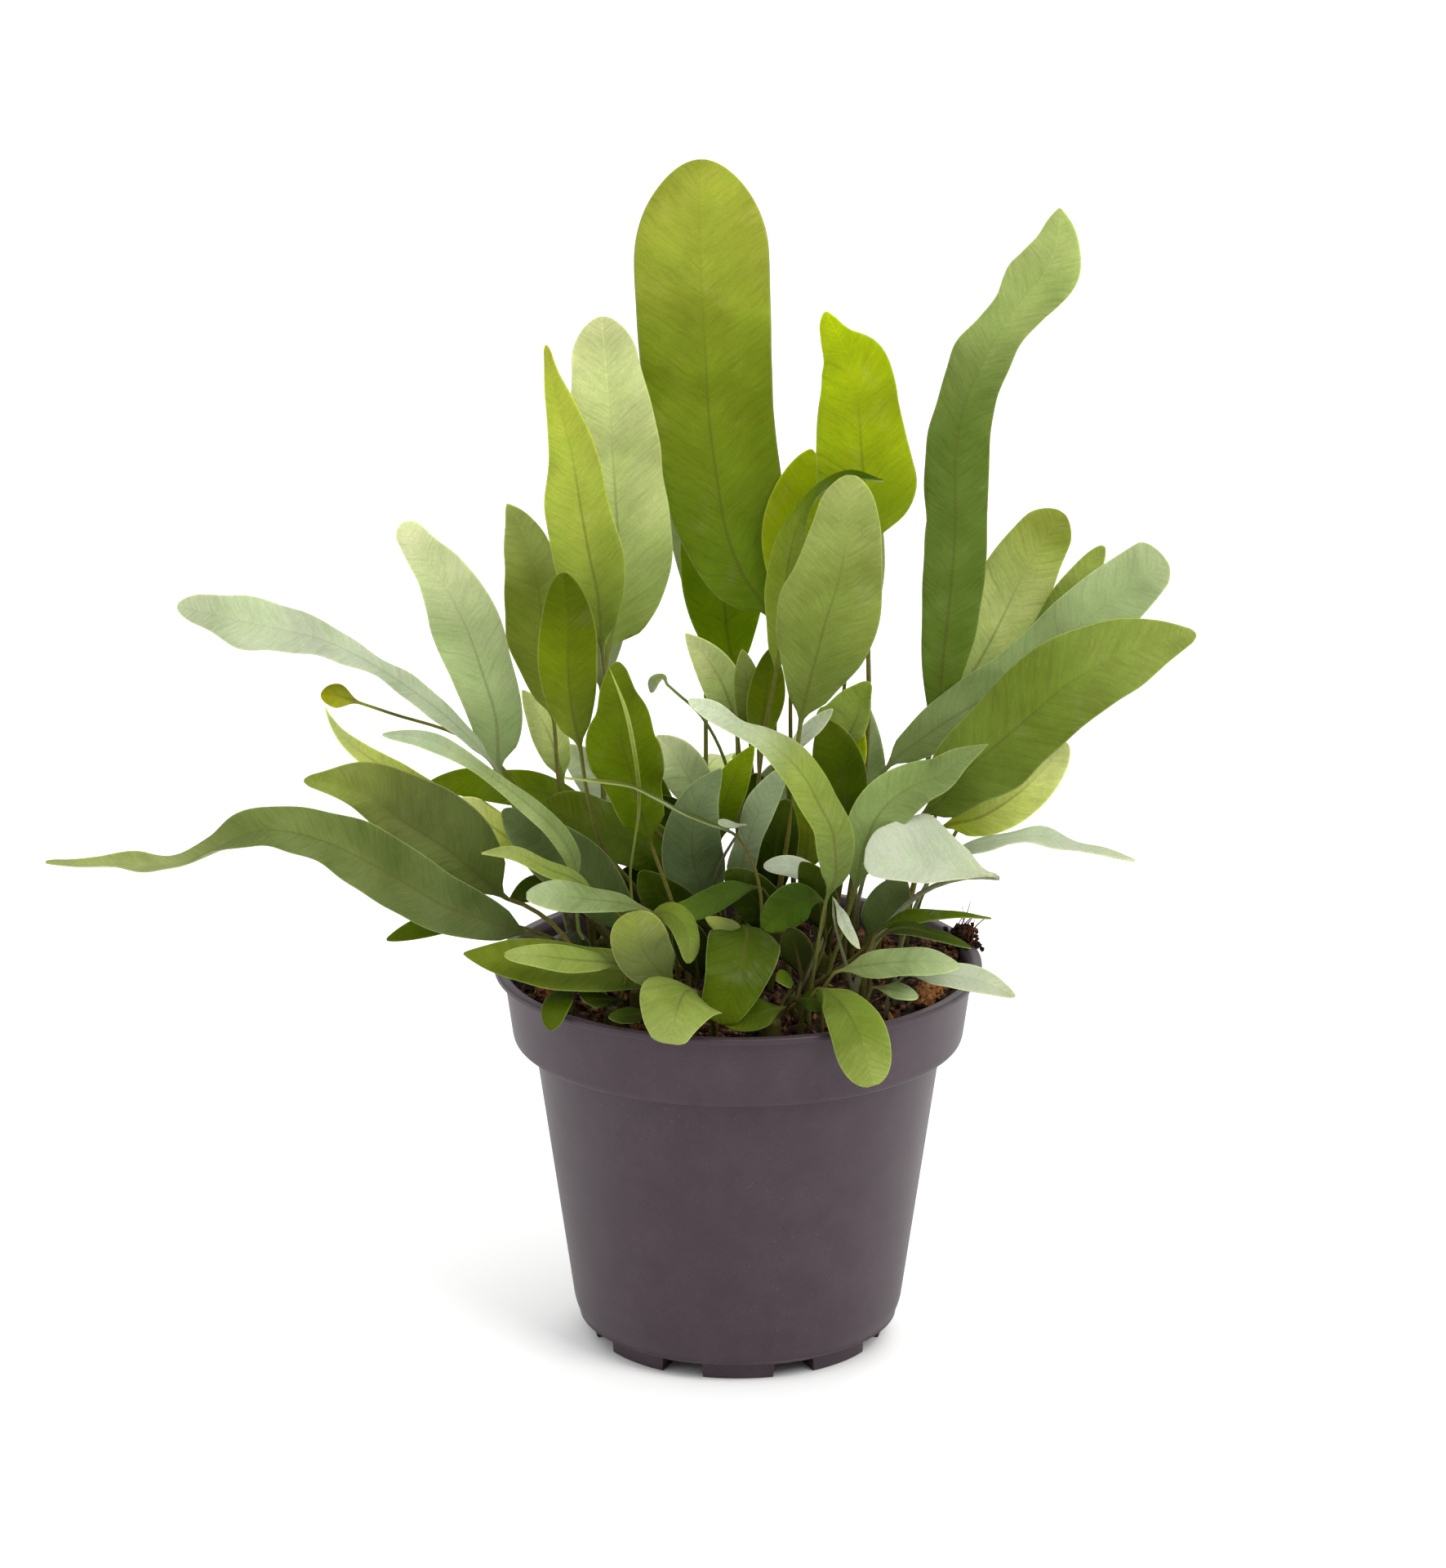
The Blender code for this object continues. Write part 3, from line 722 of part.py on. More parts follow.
def rhizome_rows(from_degrees, to_degrees, grow):
    """Rings of a knobbly tube along an arc at the soil's edge, grown by a clearance for its trough."""
    count = 7
    rings = []
    for i in range(count):
        share = i / (count - 1)
        angle = math.radians(from_degrees + share * (to_degrees - from_degrees))
        knob = 0.82 + 0.18 * math.cos(i * 2.4)
        taper = 0.55 if i in (0, count - 1) else 1
        radius = RHIZOME_RADIUS * knob * taper + grow
        ahead = (grow if i == count - 1 else -grow if i == 0 else 0) / RHIZOME_ARC
        out = np.array((math.cos(angle + ahead), math.sin(angle + ahead), 0))
        centre = out * RHIZOME_ARC + np.array((0, 0, SOIL_EDGE_Z + 1.6))
        rings.append([centre + radius * (math.cos(a) * out + math.sin(a) * np.array((0, 0, 1)))
                      for a in (2 * math.pi * k / 8 for k in range(8))])
    return rings


def ring_tube(name, rings, made_of=None):
    count = len(rings[0])
    vertices = [point for ring in rings for point in ring]
    faces = [tuple(range(count)), tuple(reversed(range(len(vertices) - count, len(vertices))))]
    for i in range(len(rings) - 1):
        for k in range(count):
            n = (k + 1) % count
            faces.append((i * count + n, i * count + k, (i + 1) * count + k, (i + 1) * count + n))
    return mesh_object(name, vertices, faces, made_of)


def grown_ring(points, clearance):
    """A horizontal ring of points moved outwards from its middle by the clearance."""
    points = np.array(points)[:, :2]
    middle = points.mean(axis=0)
    return [tuple(p + (p - middle) / np.linalg.norm(p - middle) * clearance) for p in points]


def make_frond(frond, index):
    """One frond that stands in the soil, and the ring of the hole that its foot needs."""
    x, y = frond.root
    radius = YOUNG_STEM_RADIUS if widest(frond) < 5 else STEM_RADIUS
    columns = 5 if widest(frond) > 4.5 else 3
    rows, _ = lofted_frond(frond, index * GOLDEN_SHARE, (x, y, STEM_FREE_Z), radius, columns)
    top, bottom = rows[0]
    drop = np.array((0, 0, STEM_FREE_Z - STEM_FOOT_Z))
    rows.insert(0, ([p - drop for p in top], [p - drop for p in bottom]))
    skin = material(frond.name, TONES[frond.tone], FROND_ROUGHNESS)
    thing = mesh_object(frond.name, *closed_rows(rows), skin)
    shade(thing)
    return grown_ring(top + bottom[::-1], GAP + 0.05)


def make_tuft(tuft, index):
    """Several young fronds fused to one short crown, and the ring of the hole that the crown needs."""
    x, y = tuft.root
    ring = circle(x, y, CROWN_RADIUS, 8)
    inner = circle(x, y, CROWN_RADIUS * 0.75, 8)
    vertices = [(a, b, STEM_FOOT_Z) for a, b in ring]
    vertices += [(a, b, CROWN_TOP_Z - 1.2) for a, b in ring]
    vertices += [(a, b, CROWN_TOP_Z) for a, b in inner]
    faces = [tuple(reversed(range(8))), tuple(range(16, 24))]
    for low in (0, 8):
        faces += [(low + k, low + (k + 1) % 8, low + (k + 1) % 8 + 8, low + k + 8) for k in range(8)]
    skin = material(tuft.name, TONES[tuft.fronds[0].tone], FROND_ROUGHNESS)
    crown = mesh_object(tuft.name, vertices, faces, skin)
    others = []
    for k, frond in enumerate(tuft.fronds):
        start = (x + frond.root[0], y + frond.root[1], CROWN_TOP_Z - 3)
        rows, _ = lofted_frond(frond, (index + 5 * k) * GOLDEN_SHARE, start, YOUNG_STEM_RADIUS, 3)
        others.append(mesh_object("young", *closed_rows(rows)))
    boolean(crown, "UNION", others)
    shade(crown)
    return grown_ring([(a, b, 0) for a, b in ring], GAP + 0.05)


def main():
    for thing in list(bpy.data.objects):
        bpy.data.objects.remove(thing)
    make_pot()
    cutters = []
    for index, frond in enumerate(FRONDS + BACK_FRONDS):
        cutters.append(prism(make_frond(frond, index), STEM_FOOT_Z - GAP, POT_HEIGHT + 5))
    for index, tuft in enumerate(TUFTS):
        cutters.append(prism(make_tuft(tuft, index), STEM_FOOT_Z - GAP, POT_HEIGHT + 5))
    for name, (start, end) in RHIZOMES.items():
        ring_tube(name, rhizome_rows(start, end, 0), material(name, RHIZOME_COLOR, 0.8))
        trough = ring_tube("cutter", rhizome_rows(start, end, GAP + 0.05))
        hide_cutter(trough)
        cutters.append(trough)
    make_soil(cutters)


main()
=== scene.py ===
"""Looks of a potted fern with simple strap-shaped fronds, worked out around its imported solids.

Every frond is one closed surface over a grid: rows run from the stem's foot to the tip, and columns run round
the cross-section, which turns from a round stem into a thin blade with a midrib. Sizes in the tables are in
millimetres, as in the part's source, and are turned into metres when a mesh is made.
"""

import json
import math
from collections import namedtuple

import bpy
import numpy as np
from bpy.props import FloatProperty, FloatVectorProperty, IntProperty, PointerProperty
from bpy.types import Operator, Panel, PropertyGroup
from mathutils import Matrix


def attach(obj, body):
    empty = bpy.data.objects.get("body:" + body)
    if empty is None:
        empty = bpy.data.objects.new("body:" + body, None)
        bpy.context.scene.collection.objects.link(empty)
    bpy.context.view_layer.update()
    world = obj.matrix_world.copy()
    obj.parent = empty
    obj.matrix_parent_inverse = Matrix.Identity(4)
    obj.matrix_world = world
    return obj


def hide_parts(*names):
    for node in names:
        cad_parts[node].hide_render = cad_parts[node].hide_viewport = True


bl_info = {
    "name": "Potted Strap Fern",
    "version": (1, 0, 0),
    "blender": (4, 5, 0),
    "location": "View3D > Sidebar > Fern",
    "description": "Builds the fronds, soil, rhizomes, pot and stage of a potted fern",
    "category": "Add Mesh",
}

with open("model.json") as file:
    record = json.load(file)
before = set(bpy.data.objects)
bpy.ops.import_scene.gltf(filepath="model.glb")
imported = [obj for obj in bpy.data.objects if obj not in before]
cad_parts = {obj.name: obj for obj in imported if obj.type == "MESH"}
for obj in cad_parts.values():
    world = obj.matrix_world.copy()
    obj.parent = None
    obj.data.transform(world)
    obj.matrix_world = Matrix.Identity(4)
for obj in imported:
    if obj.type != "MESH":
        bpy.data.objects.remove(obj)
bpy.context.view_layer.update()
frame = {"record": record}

MM = 0.001
GAP = 0.3

# Pot, as radii and heights in mm
POT_HEIGHT = 96.0
LIP_RADIUS = 60.0
LIP_INNER = 57.6
LIP_DEPTH = 1.6
COLLAR_TOP_RADIUS = 57.7
COLLAR_LOW_RADIUS = 55.5
COLLAR_LOW_Z = 78.4
COLLAR_UNDER_Z = 76.8
BODY_TOP_RADIUS = 50.3
BODY_LOW_RADIUS = 40.75
BODY_LOW_Z = 6.2
WALL = 1.3
FOOT_RADIUS = 36.0
FOOT_EDGE_RADIUS = 37.5
CORNER_RADIUS = 39.2
FOOT_HEIGHT = 3.9
FLOOR_TOP = 5.4
HUB_RADIUS = 20.0
GROOVES = 8
GROOVE_WIDTH = 10.5
DRAIN_RADIUS = 2.0
DRAIN_AT = 29.0

# Soil and what stands in it
SOIL_EDGE_Z = 88.5
SOIL_MOUND = 2.6
HEAP_X = 50.0
HEAP_Y = 15.0
HEAP_HEIGHT = 5.5
HEAP_SIZE = 11.0
SPILL_ANGLE = 0.29
SPILL_SPREAD = 0.06
SPILL_HEIGHT = 3.4
STEM_FOOT_Z = 82.0
STEM_FREE_Z = 94.0
CROWN_RADIUS = 2.4
CROWN_TOP_Z = 95.5
RHIZOME_ARC = 47.5
RHIZOME_RADIUS = 3.3

# Fronds; the stems are thinner than those of the solids, and grow with the blade's half-width
STEM_RADIUS = 0.32
STEM_GROWTH = 0.018
YOUNG_WIDTH = 5.0
GOLDEN_SHARE = 0.618
HALF_ACROSS = (0, 0.02, 0.065, 0.13, 0.21, 0.31, 0.42, 0.545, 0.684, 0.83, 0.965, 1)
YOUNG_HALF_ACROSS = (0, 0.06, 0.17, 0.34, 0.56, 0.78, 0.955, 1)

# Where the camera that took the picture stands, in mm and degrees, and its lens
CAMERA_PLACE = (-3.7, -1525.3, 601.8)
CAMERA_DIP = 16.8
CAMERA_LENS = 150.0

Frond = namedtuple(
    "Frond",
    "name root stem blade width belly tip facing fold ruffle waves tone",
    defaults=(((0, -0.95, 0.3),), 0.1, 1.0, 2.0, "green"),
)
Tuft = namedtuple("Tuft", "name root fronds")

CAMERA_SIDE = ((0, -0.95, 0.3),)

CENTRE_FRONDS = [
    Frond("frond_tallest", (10, 24), [(9, 27, 143)],
          [(8, 28, 175), (1, 28, 187), (-3, 28, 198), (-5, 28, 210), (-7, 29, 225), (-8, 29, 243),
           (-9, 30, 265), (-9, 30, 290)],
          ((1, 8, 11, 13.4, 14.3, 15.3, 16.2, 16.4, 16.4, 15.5, 14), (1, 9, 14.4, 15.5, 15.8, 16, 16.1,
           16.5, 16.6, 16, 14.5)),
          0.62, 0.2, ((0.05, -1, 0.2),), 0.06, 1.0, 3.0, "olive"),
    Frond("frond_behind_tallest", (0, 34), [(0, 37, 138)],
          [(-1, 38, 157), (-3, 38, 172), (-4, 39, 189), (-6, 40, 214)],
          10.5, 0.5, 1.6, ((0, -1, 0.2),), 0.05, 1.0, 2.0, "vivid"),
    Frond("frond_broad_pale", (-30, 14), [(-33, 12, 132), (-33, 12, 156)],
          [(-32, 12, 171), (-30, 12, 180), (-29, 12, 192), (-30, 12, 212), (-32, 12, 243), (-33, 13, 255)],
          ((1.5, 7, 10.5, 12, 12.5, 12.3, 12, 11, 9.5, 8.5, 7), (1.5, 8, 11.5, 13, 13.4, 12.6, 11.8, 10.8,
           9.4, 8, 6.5)),
          0.45, 0.12, ((0.25, -0.9, 0.35),), 0.08, 1.2, 2.5, "pale"),
    Frond("frond_pointed", (-6, -3), [(-8, -2, 115), (-21, -1, 131), (-30, 0, 153)],
          [(-33, 0, 175), (-34, 0, 189), (-36, 0, 199), (-38, 0, 211), (-40, 0, 224), (-44, 0, 240),
           (-46, 0, 251)],
          ((1, 5.5, 8.2, 8.8, 8.8, 8.5, 6.5, 4.8, 3.2, 1.9, 0.8), (1, 4.3, 7, 8.3, 7.6, 6.7, 6.5, 5.7, 4.1,
           2, 0.8)),
          0.36, 0.03, ((0.15, -1, 0.2), (-0.2, -1, 0.2)), 0.12, 1.0, 3.0, "yellow"),
    Frond("frond_folded", (-36, 9), [(-44, 9, 139)],
          [(-45, 9, 154), (-47, 9, 168), (-48, 9, 184), (-50, 8, 197), (-53, 8, 205), (-56, 7, 210)],
          8.5, 0.5, 1.3, ((-0.45, -0.9, 0.2), (-0.3, -0.9, 0.3)), 0.35, 1.0, 2.0, "olive_green"),
    Frond("frond_olive", (-20, -12), [(-23, -12, 115), (-33, -12, 129), (-37, -12, 145)],
          [(-38, -12, 153), (-40, -12, 163), (-41, -12, 174), (-41, -12, 186), (-42, -12, 198)],
          7.2, 0.5, 1.7, ((-0.1, -1, 0.15),), 0.08, 0.7, 2.0, "deep"),
    Frond("frond_dark_left", (-12, -20), [(-15, -21, 114)],
          [(-21, -20, 132), (-23, -20, 139), (-25, -20, 146), (-26, -20, 151), (-28, -20, 158),
           (-28, -20, 165), (-29, -20, 171), (-29, -20, 178)],
          ((1, 4.2, 5.6, 6.4, 8.2, 9.1, 8.6, 6.9, 5.2, 3.4, 1.5), (1, 4.5, 5.8, 6.6, 8.2, 8.8, 8.2, 6.9, 5, 3.6,
           1.5)),
          0.5, 0.05, ((0, -1, 0.15),), 0.1, 1.0, 2.5, "moss"),
    Frond("frond_pale_left", (-30, 2), [(-44, 1, 116), (-54, 0, 134)],
          [(-58, 0, 144), (-59, 0, 158), (-62, 0, 169), (-66, 0, 181), (-72, 0, 193), (-76, 0, 199),
           (-81, 0, 207)],
          ((1, 4.7, 6.3, 7.1, 7.7, 8.4, 8.2, 6.6, 5, 4, 3), (1, 4.7, 6.5, 7.3, 7.8, 8.4, 8.5, 7.8, 6.5, 4.5,
           3)),
          0.5, 0.04, ((0.1, -0.95, 0.3),), 0.08, 0.8, 2.5, "pale_grey"),
    Frond("frond_right_centre", (8, -10), [(13, -8, 138)],
          [(15, -6, 158), (17, -6, 168), (19, -6, 176), (21, -6, 184), (24, -6, 194), (26, -5, 205),
           (27, -4, 220)],
          ((1, 4, 7, 10, 12, 12.8, 11.5, 10, 8.8, 7.3, 5.5), (1, 5, 8.5, 11.2, 12.4, 12.3, 10.8, 9.2, 8,
           6.3, 5)),
          0.42, 0.12, ((0.1, -1, 0.2),), 0.08, 1.0, 2.5, "pale_green"),
    Frond("frond_arc", (2, 10), [(6, 9, 148)],
          [(9, 8, 166), (11, 7, 180), (12, 7, 193), (14, 6, 203), (17, 5, 210), (21, 4, 215), (27, 3, 218),
           (35, 2, 217)],
          5.4, 0.35, 1.2, ((-0.1, -1, 0.1), (-0.5, -0.8, 0.3), (0, -0.3, 1), (0.1, -0.2, 1)), 0.1, 0.5, 2.0,
          "arc"),
    Frond("frond_bright_right", (28, 12), [(31, 12, 137), (32, 13, 160)],
          [(31, 14, 193), (31, 14, 201), (31, 14, 210), (30, 14, 220), (29, 14, 232), (27, 14, 244),
           (24, 14, 250), (21, 14, 256)],
          ((1, 7, 10.5, 11.5, 11.3, 10.8, 10, 8.4, 7.2, 4.6, 2), (0.8, 3, 9.5, 12.6, 12.1, 11, 10, 9.6, 8.2,
           3.2, 0.8)),
          0.45, 0.05, ((-0.1, -1, 0.2), (0.1, -1, 0.2)), 0.1, 0.9, 2.5, "bright"),
    Frond("frond_wedge", (14, 26), [(13, 26, 148)],
          [(13, 26, 176), (13, 26, 196), (15, 26, 207), (18, 26, 219)],
          7.5, 0.55, 1.4, ((0, -1, 0.2),), 0.1, 0.8, 2.0, "bright"),
    Frond("frond_tall_right", (40, 10), [(46, 12, 123)],
          [(49, 14, 148), (50, 15, 166), (52, 17, 186), (53, 19, 202), (53, 21, 218), (55, 23, 230),
           (59, 24, 240), (64, 25, 249), (69, 26, 256), (74, 27, 262), (77, 28, 269), (78, 30, 278)],
          ((1, 2.8, 4.2, 5.4, 6.2, 6.8, 7.4, 7.6, 7.6, 7.8, 7.8, 8, 7.2, 7.4, 8.3, 6.4, 5.8, 8.2, 7.2, 4.6, 1.4),
           (1, 2.8, 4.4, 6, 7.4, 7.6, 8, 8, 8, 8, 8.2, 7.8, 7.6, 6.6, 6.4, 5.8, 6.6, 7.6, 8.2, 5.2, 1.4)),
          0.45, 0.03, ((-0.1, -1, 0.1), (0.2, -1, 0.2), (-0.3, -1, 0.3)), 0.12, 0.8, 5.0, "deep_glaucous"),
]

LEFT_FRONDS = [
    Frond("frond_far_left", (-40, -6), [(-48, -5, 126), (-56, -6, 142)],
          [(-60, -7, 149), (-70, -8, 160), (-80, -8, 168), (-90, -9, 175), (-100, -9, 180),
           (-110, -10, 183), (-119, -10, 185), (-135, -10, 189)],
          ((1.2, 2.6, 3.1, 3.5, 3.7, 4.2, 5, 7, 7.8, 4.2, 2.5), (1.2, 2.6, 3.1, 3.5, 3.7, 4.2, 5, 6.6, 7.2,
           5, 3)),
          0.7, 0.06, ((0, -0.5, 0.85), (0, -0.5, 0.85), (0.1, -0.9, 0.5)), 0.1, 0.8, 3.0, "silver"),
    Frond("frond_small_yellow", (-41, 4), [(-54, 7, 138), (-66, 5, 151), (-84, -3, 160)],
          [(-91, -8, 164), (-94, -8, 165), (-98, -8, 166), (-101, -8, 166)],
          3.4, 0.5, 1.6, ((0, -0.8, 0.6),), 0.1, 0.2, 1.0, "gold"),
    Frond("frond_narrow_left", (-40, 13), [(-54, 10, 120)],
          [(-69, 8, 134), (-81, 7, 140), (-90, 6, 146), (-97, 6, 152), (-100, 6, 157), (-101, 6, 160)],
          3.2, 0.4, 0.9, ((0, -0.9, 0.4),), 0.1, 0.5, 2.0, "pale_yellow"),
    Frond("frond_low_left", (-36, -21), [(-43, -18, 109), (-51, -16, 115)],
          [(-56, -16, 117), (-64, -16, 124), (-71, -16, 130), (-80, -16, 136), (-91, -16, 144),
           (-105, -16, 147)],
          ((1, 3, 4.3, 5, 5.2, 5.5, 5.5, 5, 4, 2.5, 1), (1, 6, 9.5, 11.5, 12, 12, 11, 9, 6.5, 3.5, 1.2)),
          0.5, 0.04, ((-0.2, -0.85, 0.5),), 0.28, 1.0, 2.5, "dusky"),
    Frond("frond_longest_left", (-40, -31), [(-44, -30, 110)],
          [(-50, -29, 112), (-60, -28, 115), (-71, -28, 119), (-79, -28, 124), (-89, -28, 130),
           (-99, -28, 135), (-111, -28, 138), (-118, -28, 137), (-125, -29, 134), (-132, -30, 131),
           (-140, -31, 130), (-148, -32, 131), (-156, -33, 131), (-166, -34, 132)],
          ((1.5, 5.5, 7.5, 8, 8, 7, 5.2, 4.2, 4, 2.2, 1), (1.5, 5.5, 7.5, 8, 8, 7, 5.4, 4.4, 4, 2.2, 1)),
          0.34, 0.03, ((-0.2, -0.8, 0.55), (-0.1, -0.8, 0.6), (0, -0.6, 0.8), (0, -0.15, 1), (0, -0.5, 0.9)
          ), 0.3, 1.0, 4.0, "grey_green"),
    Frond("frond_rounded_left", (-7, 7), [(-6, 5, 104)],
          [(-8, 5, 111), (-13, 4, 117), (-19, 4, 122), (-27, 4, 126), (-35, 4, 129), (-42, 4, 132),
           (-48, 4, 134)],
          7.6, 0.66, 2.0, ((0, -0.8, 0.6),), 0.05, 0.8, 2.0, "dark"),
    Frond("frond_pale_spoon", (-14, -31), [(-17, -35, 114.5)],
          [(-21, -37, 120.5), (-28, -37, 122.5), (-36, -37, 123.5), (-44, -37, 124.5), (-51, -37, 124.5)],
          4.6, 0.68, 1.8, ((0, -0.55, 0.85),), 0.05, 0.4, 1.5, "glaucous"),
    Frond("frond_front_left", (-15, -28), [(-15, -31, 97)],
          [(-17, -33, 101), (-20, -37, 104), (-28, -39, 106), (-38, -40, 107), (-50, -40, 109),
           (-60, -40, 110), (-66, -40, 111)],
          6.4, 0.55, 1.3, ((0, -0.75, 0.65),), 0.06, 0.6, 2.0, "front_green"),
]

FRONT_FRONDS = [
    Frond("frond_yellow_rim", (-6, -45), [(-8, -48, 101)],
          [(-10, -51, 105), (-13, -56, 106), (-15, -61, 102), (-16, -63.5, 96)],
          ((1.5, 8.5, 10.6, 10.8, 10.2, 9, 7.8, 6.6, 5.4, 4.2, 3), (1.5, 6.5, 8.6, 9.4, 9.8, 9.6, 9, 8, 6.8,
           5.4, 4)),
          0.5, 0.06, ((0, -0.6, 0.8), (0, -0.95, 0.3)), 0.05, 0.6, 2.0, "pale_green"),
    Frond("frond_front_centre", (2, -32), [(1, -35, 112)],
          [(1, -39, 117.5), (2, -43, 117), (1, -48, 113), (-1, -52, 107.5), (-4, -54, 102), (-6, -54, 98.5)],
          ((2, 7, 8.2, 8.4, 8.2, 7.6, 7, 6.4, 5.8, 5, 4), (2, 7.5, 9, 9.2, 8.8, 8.4, 7.8, 7, 6, 5, 4)),
          0.5, 0.12, ((0.1, -0.75, 0.6), (0.1, -0.95, 0.3)), 0.06, 0.7, 2.0, "dark"),
    Frond("frond_arching", (17, -34), [(19, -36, 111)],
          [(21, -36, 123), (23, -36, 129), (23, -36, 135), (22, -36, 141), (19, -36, 147), (16, -36, 153),
           (12, -36, 158), (6, -36, 163), (1, -36, 166), (-5, -36, 170), (-12, -36, 173)],
          ((1, 3.6, 4.8, 5.4, 5.6, 5.6, 5.2, 4.2, 3, 3.6, 2), (1, 3.6, 5, 5.4, 5.6, 5.4, 4.8, 4, 1.6, 2.2, 1.5)),
          0.3, 0.08, ((0.35, -0.9, 0.1), (0.4, -0.75, 0.5), (0.2, -0.6, 0.8), (0, -0.7, 0.7)), 0.1, 0.6, 3.0,
          "arching"),
]

RIGHT_FRONDS = [
    Frond("frond_olive_right", (36, 28), [(44, 31, 128)],
          [(52, 33, 150), (60, 34, 163), (65, 34, 173), (70, 34, 184), (75, 34, 193), (80, 34, 201)],
          ((1, 4, 7, 8.5, 9.4, 10, 10, 9.4, 8.4, 7.2, 5.5), (1, 4, 7, 8.5, 9, 9, 8.8, 8.2, 7, 6, 4.5)),
          0.5, 0.1, ((-0.15, -0.95, 0.2),), 0.08, 1.0, 3.0, "pale_olive"),
    Frond("frond_narrow_right", (42, 20), [(52, 26, 133)],
          [(62, 28, 150), (69, 28, 159), (75, 28, 169), (80, 28, 178), (85, 28, 186), (90, 28, 194)],
          4.6, 0.55, 1.8, ((-0.3, -0.9, 0.2),), 0.1, 0.7, 2.5, "green"),
    Frond("frond_blue_right", (26, 3), [(30, 5, 126)],
          [(36, 6, 143), (45, 6, 151), (55, 6, 158), (67, 6, 165), (79, 6, 176), (88, 6, 184), (96, 6, 190),
           (104, 6, 196)],
          ((1, 4, 6, 7, 7.5, 8, 8.2, 8.2, 8.4, 8.4, 7.4), (1, 4, 6, 7, 7.5, 8, 8, 8, 8.5, 7, 4)),
          0.5, 0.04, ((-0.2, -0.85, 0.45),), 0.08, 0.9, 3.0, "glaucous"),
    Frond("frond_big_right", (30, -8), [(37, -12, 122)],
          [(44, -14, 137), (49, -14, 141), (54, -14, 148), (62, -14, 155), (72, -14, 164), (80, -14, 171),
           (90, -14, 177), (100, -14, 181), (110, -14, 183)],
          ((1, 5.5, 9, 10.3, 11.6, 12, 11.8, 10.5, 8.3, 5, 1.2), (1, 6.5, 9.5, 11.4, 11, 10.5, 10.3, 10.2,
           9, 5.6, 1.2)),
          0.5, 0.02, ((-0.2, -0.9, 0.4),), 0.06, 1.0, 3.0, "green"),
    Frond("frond_yellow_right", (34, 0), [(42, -3, 122)],
          [(49, -4, 131), (59, -4, 134), (68, -4, 140), (75, -4, 147), (80, -4, 153)],
          6.2, 0.5, 1.7, ((0.2, -0.85, 0.45),), 0.05, 0.8, 2.0, "pale_yellow"),
    Frond("frond_flat_right", (38, -15), [(43, -18, 116)],
          [(49, -20, 127), (56, -20, 131), (64, -20, 133), (72, -20, 134), (80, -20, 132), (88, -20, 130),
           (96, -20, 128)],
          4.4, 0.45, 1.3, ((0, -0.2, 1), (0, -0.1, 1)), 0.08, 0.6, 2.5, "silver"),
    Frond("frond_whitish", (28, -26), [(33, -26, 109), (44, -24, 121), (55, -24, 125), (63, -26, 125.5)],
          [(61.5, -28.5, 127), (54, -29, 128), (46, -29, 129), (38, -29, 130.5), (30, -29, 131.5)],
          ((1, 1.3, 1.7, 2.3, 3.2, 4.1, 4.7, 4.9, 5, 4.6, 4.2), (1.2, 3.2, 5.4, 7.6, 10.2, 12.6, 13.4, 11.8, 10,
           8, 6)),
          0.6, 0.1, ((0.05, -0.8, 0.6),), 0.04, 0.4, 1.0, "whitish"),
    Frond("frond_reaching", (21, -22), [(25, -22, 110)],
          [(28, -22, 120), (30, -22, 131), (33, -22, 139), (37, -22, 144), (43, -22, 148), (48, -22, 150),
           (53, -22, 154), (60, -22, 158)],
          6.6, 0.42, 1.1, ((0.4, -0.85, 0.3), (-0.2, -0.85, 0.5)), 0.1, 0.7, 2.5, "strap_green"),
    Frond("frond_strap_right", (20, -40), [(21, -43, 105)],
          [(23, -44, 107.5), (30, -44, 109), (38, -44, 110), (46, -44, 110), (53, -44, 109)],
          4.2, 0.5, 1.6, ((0, -0.65, 0.75),), 0.06, 0.4, 2.0, "glaucous"),
    Frond("frond_pale_low_right", (36, -26), [(38, -28, 99)],
          [(40, -30, 102), (48, -31, 102.5), (54, -31, 102), (60, -31, 100.5), (67, -31, 97)],
          3.9, 0.5, 1.4, ((0, -0.6, 0.8),), 0.05, 0.2, 1.5, "silver"),
    Frond("frond_over_rim", (15, -42), [(17, -45, 101)],
          [(19, -47, 104.5), (24, -53, 103), (28, -58, 98), (30, -60.5, 92), (32, -62, 85)],
          6.8, 0.6, 2.0, ((0.1, -0.6, 0.8), (0.1, -0.95, 0.3)), 0.05, 0.5, 2.0, "green"),
]

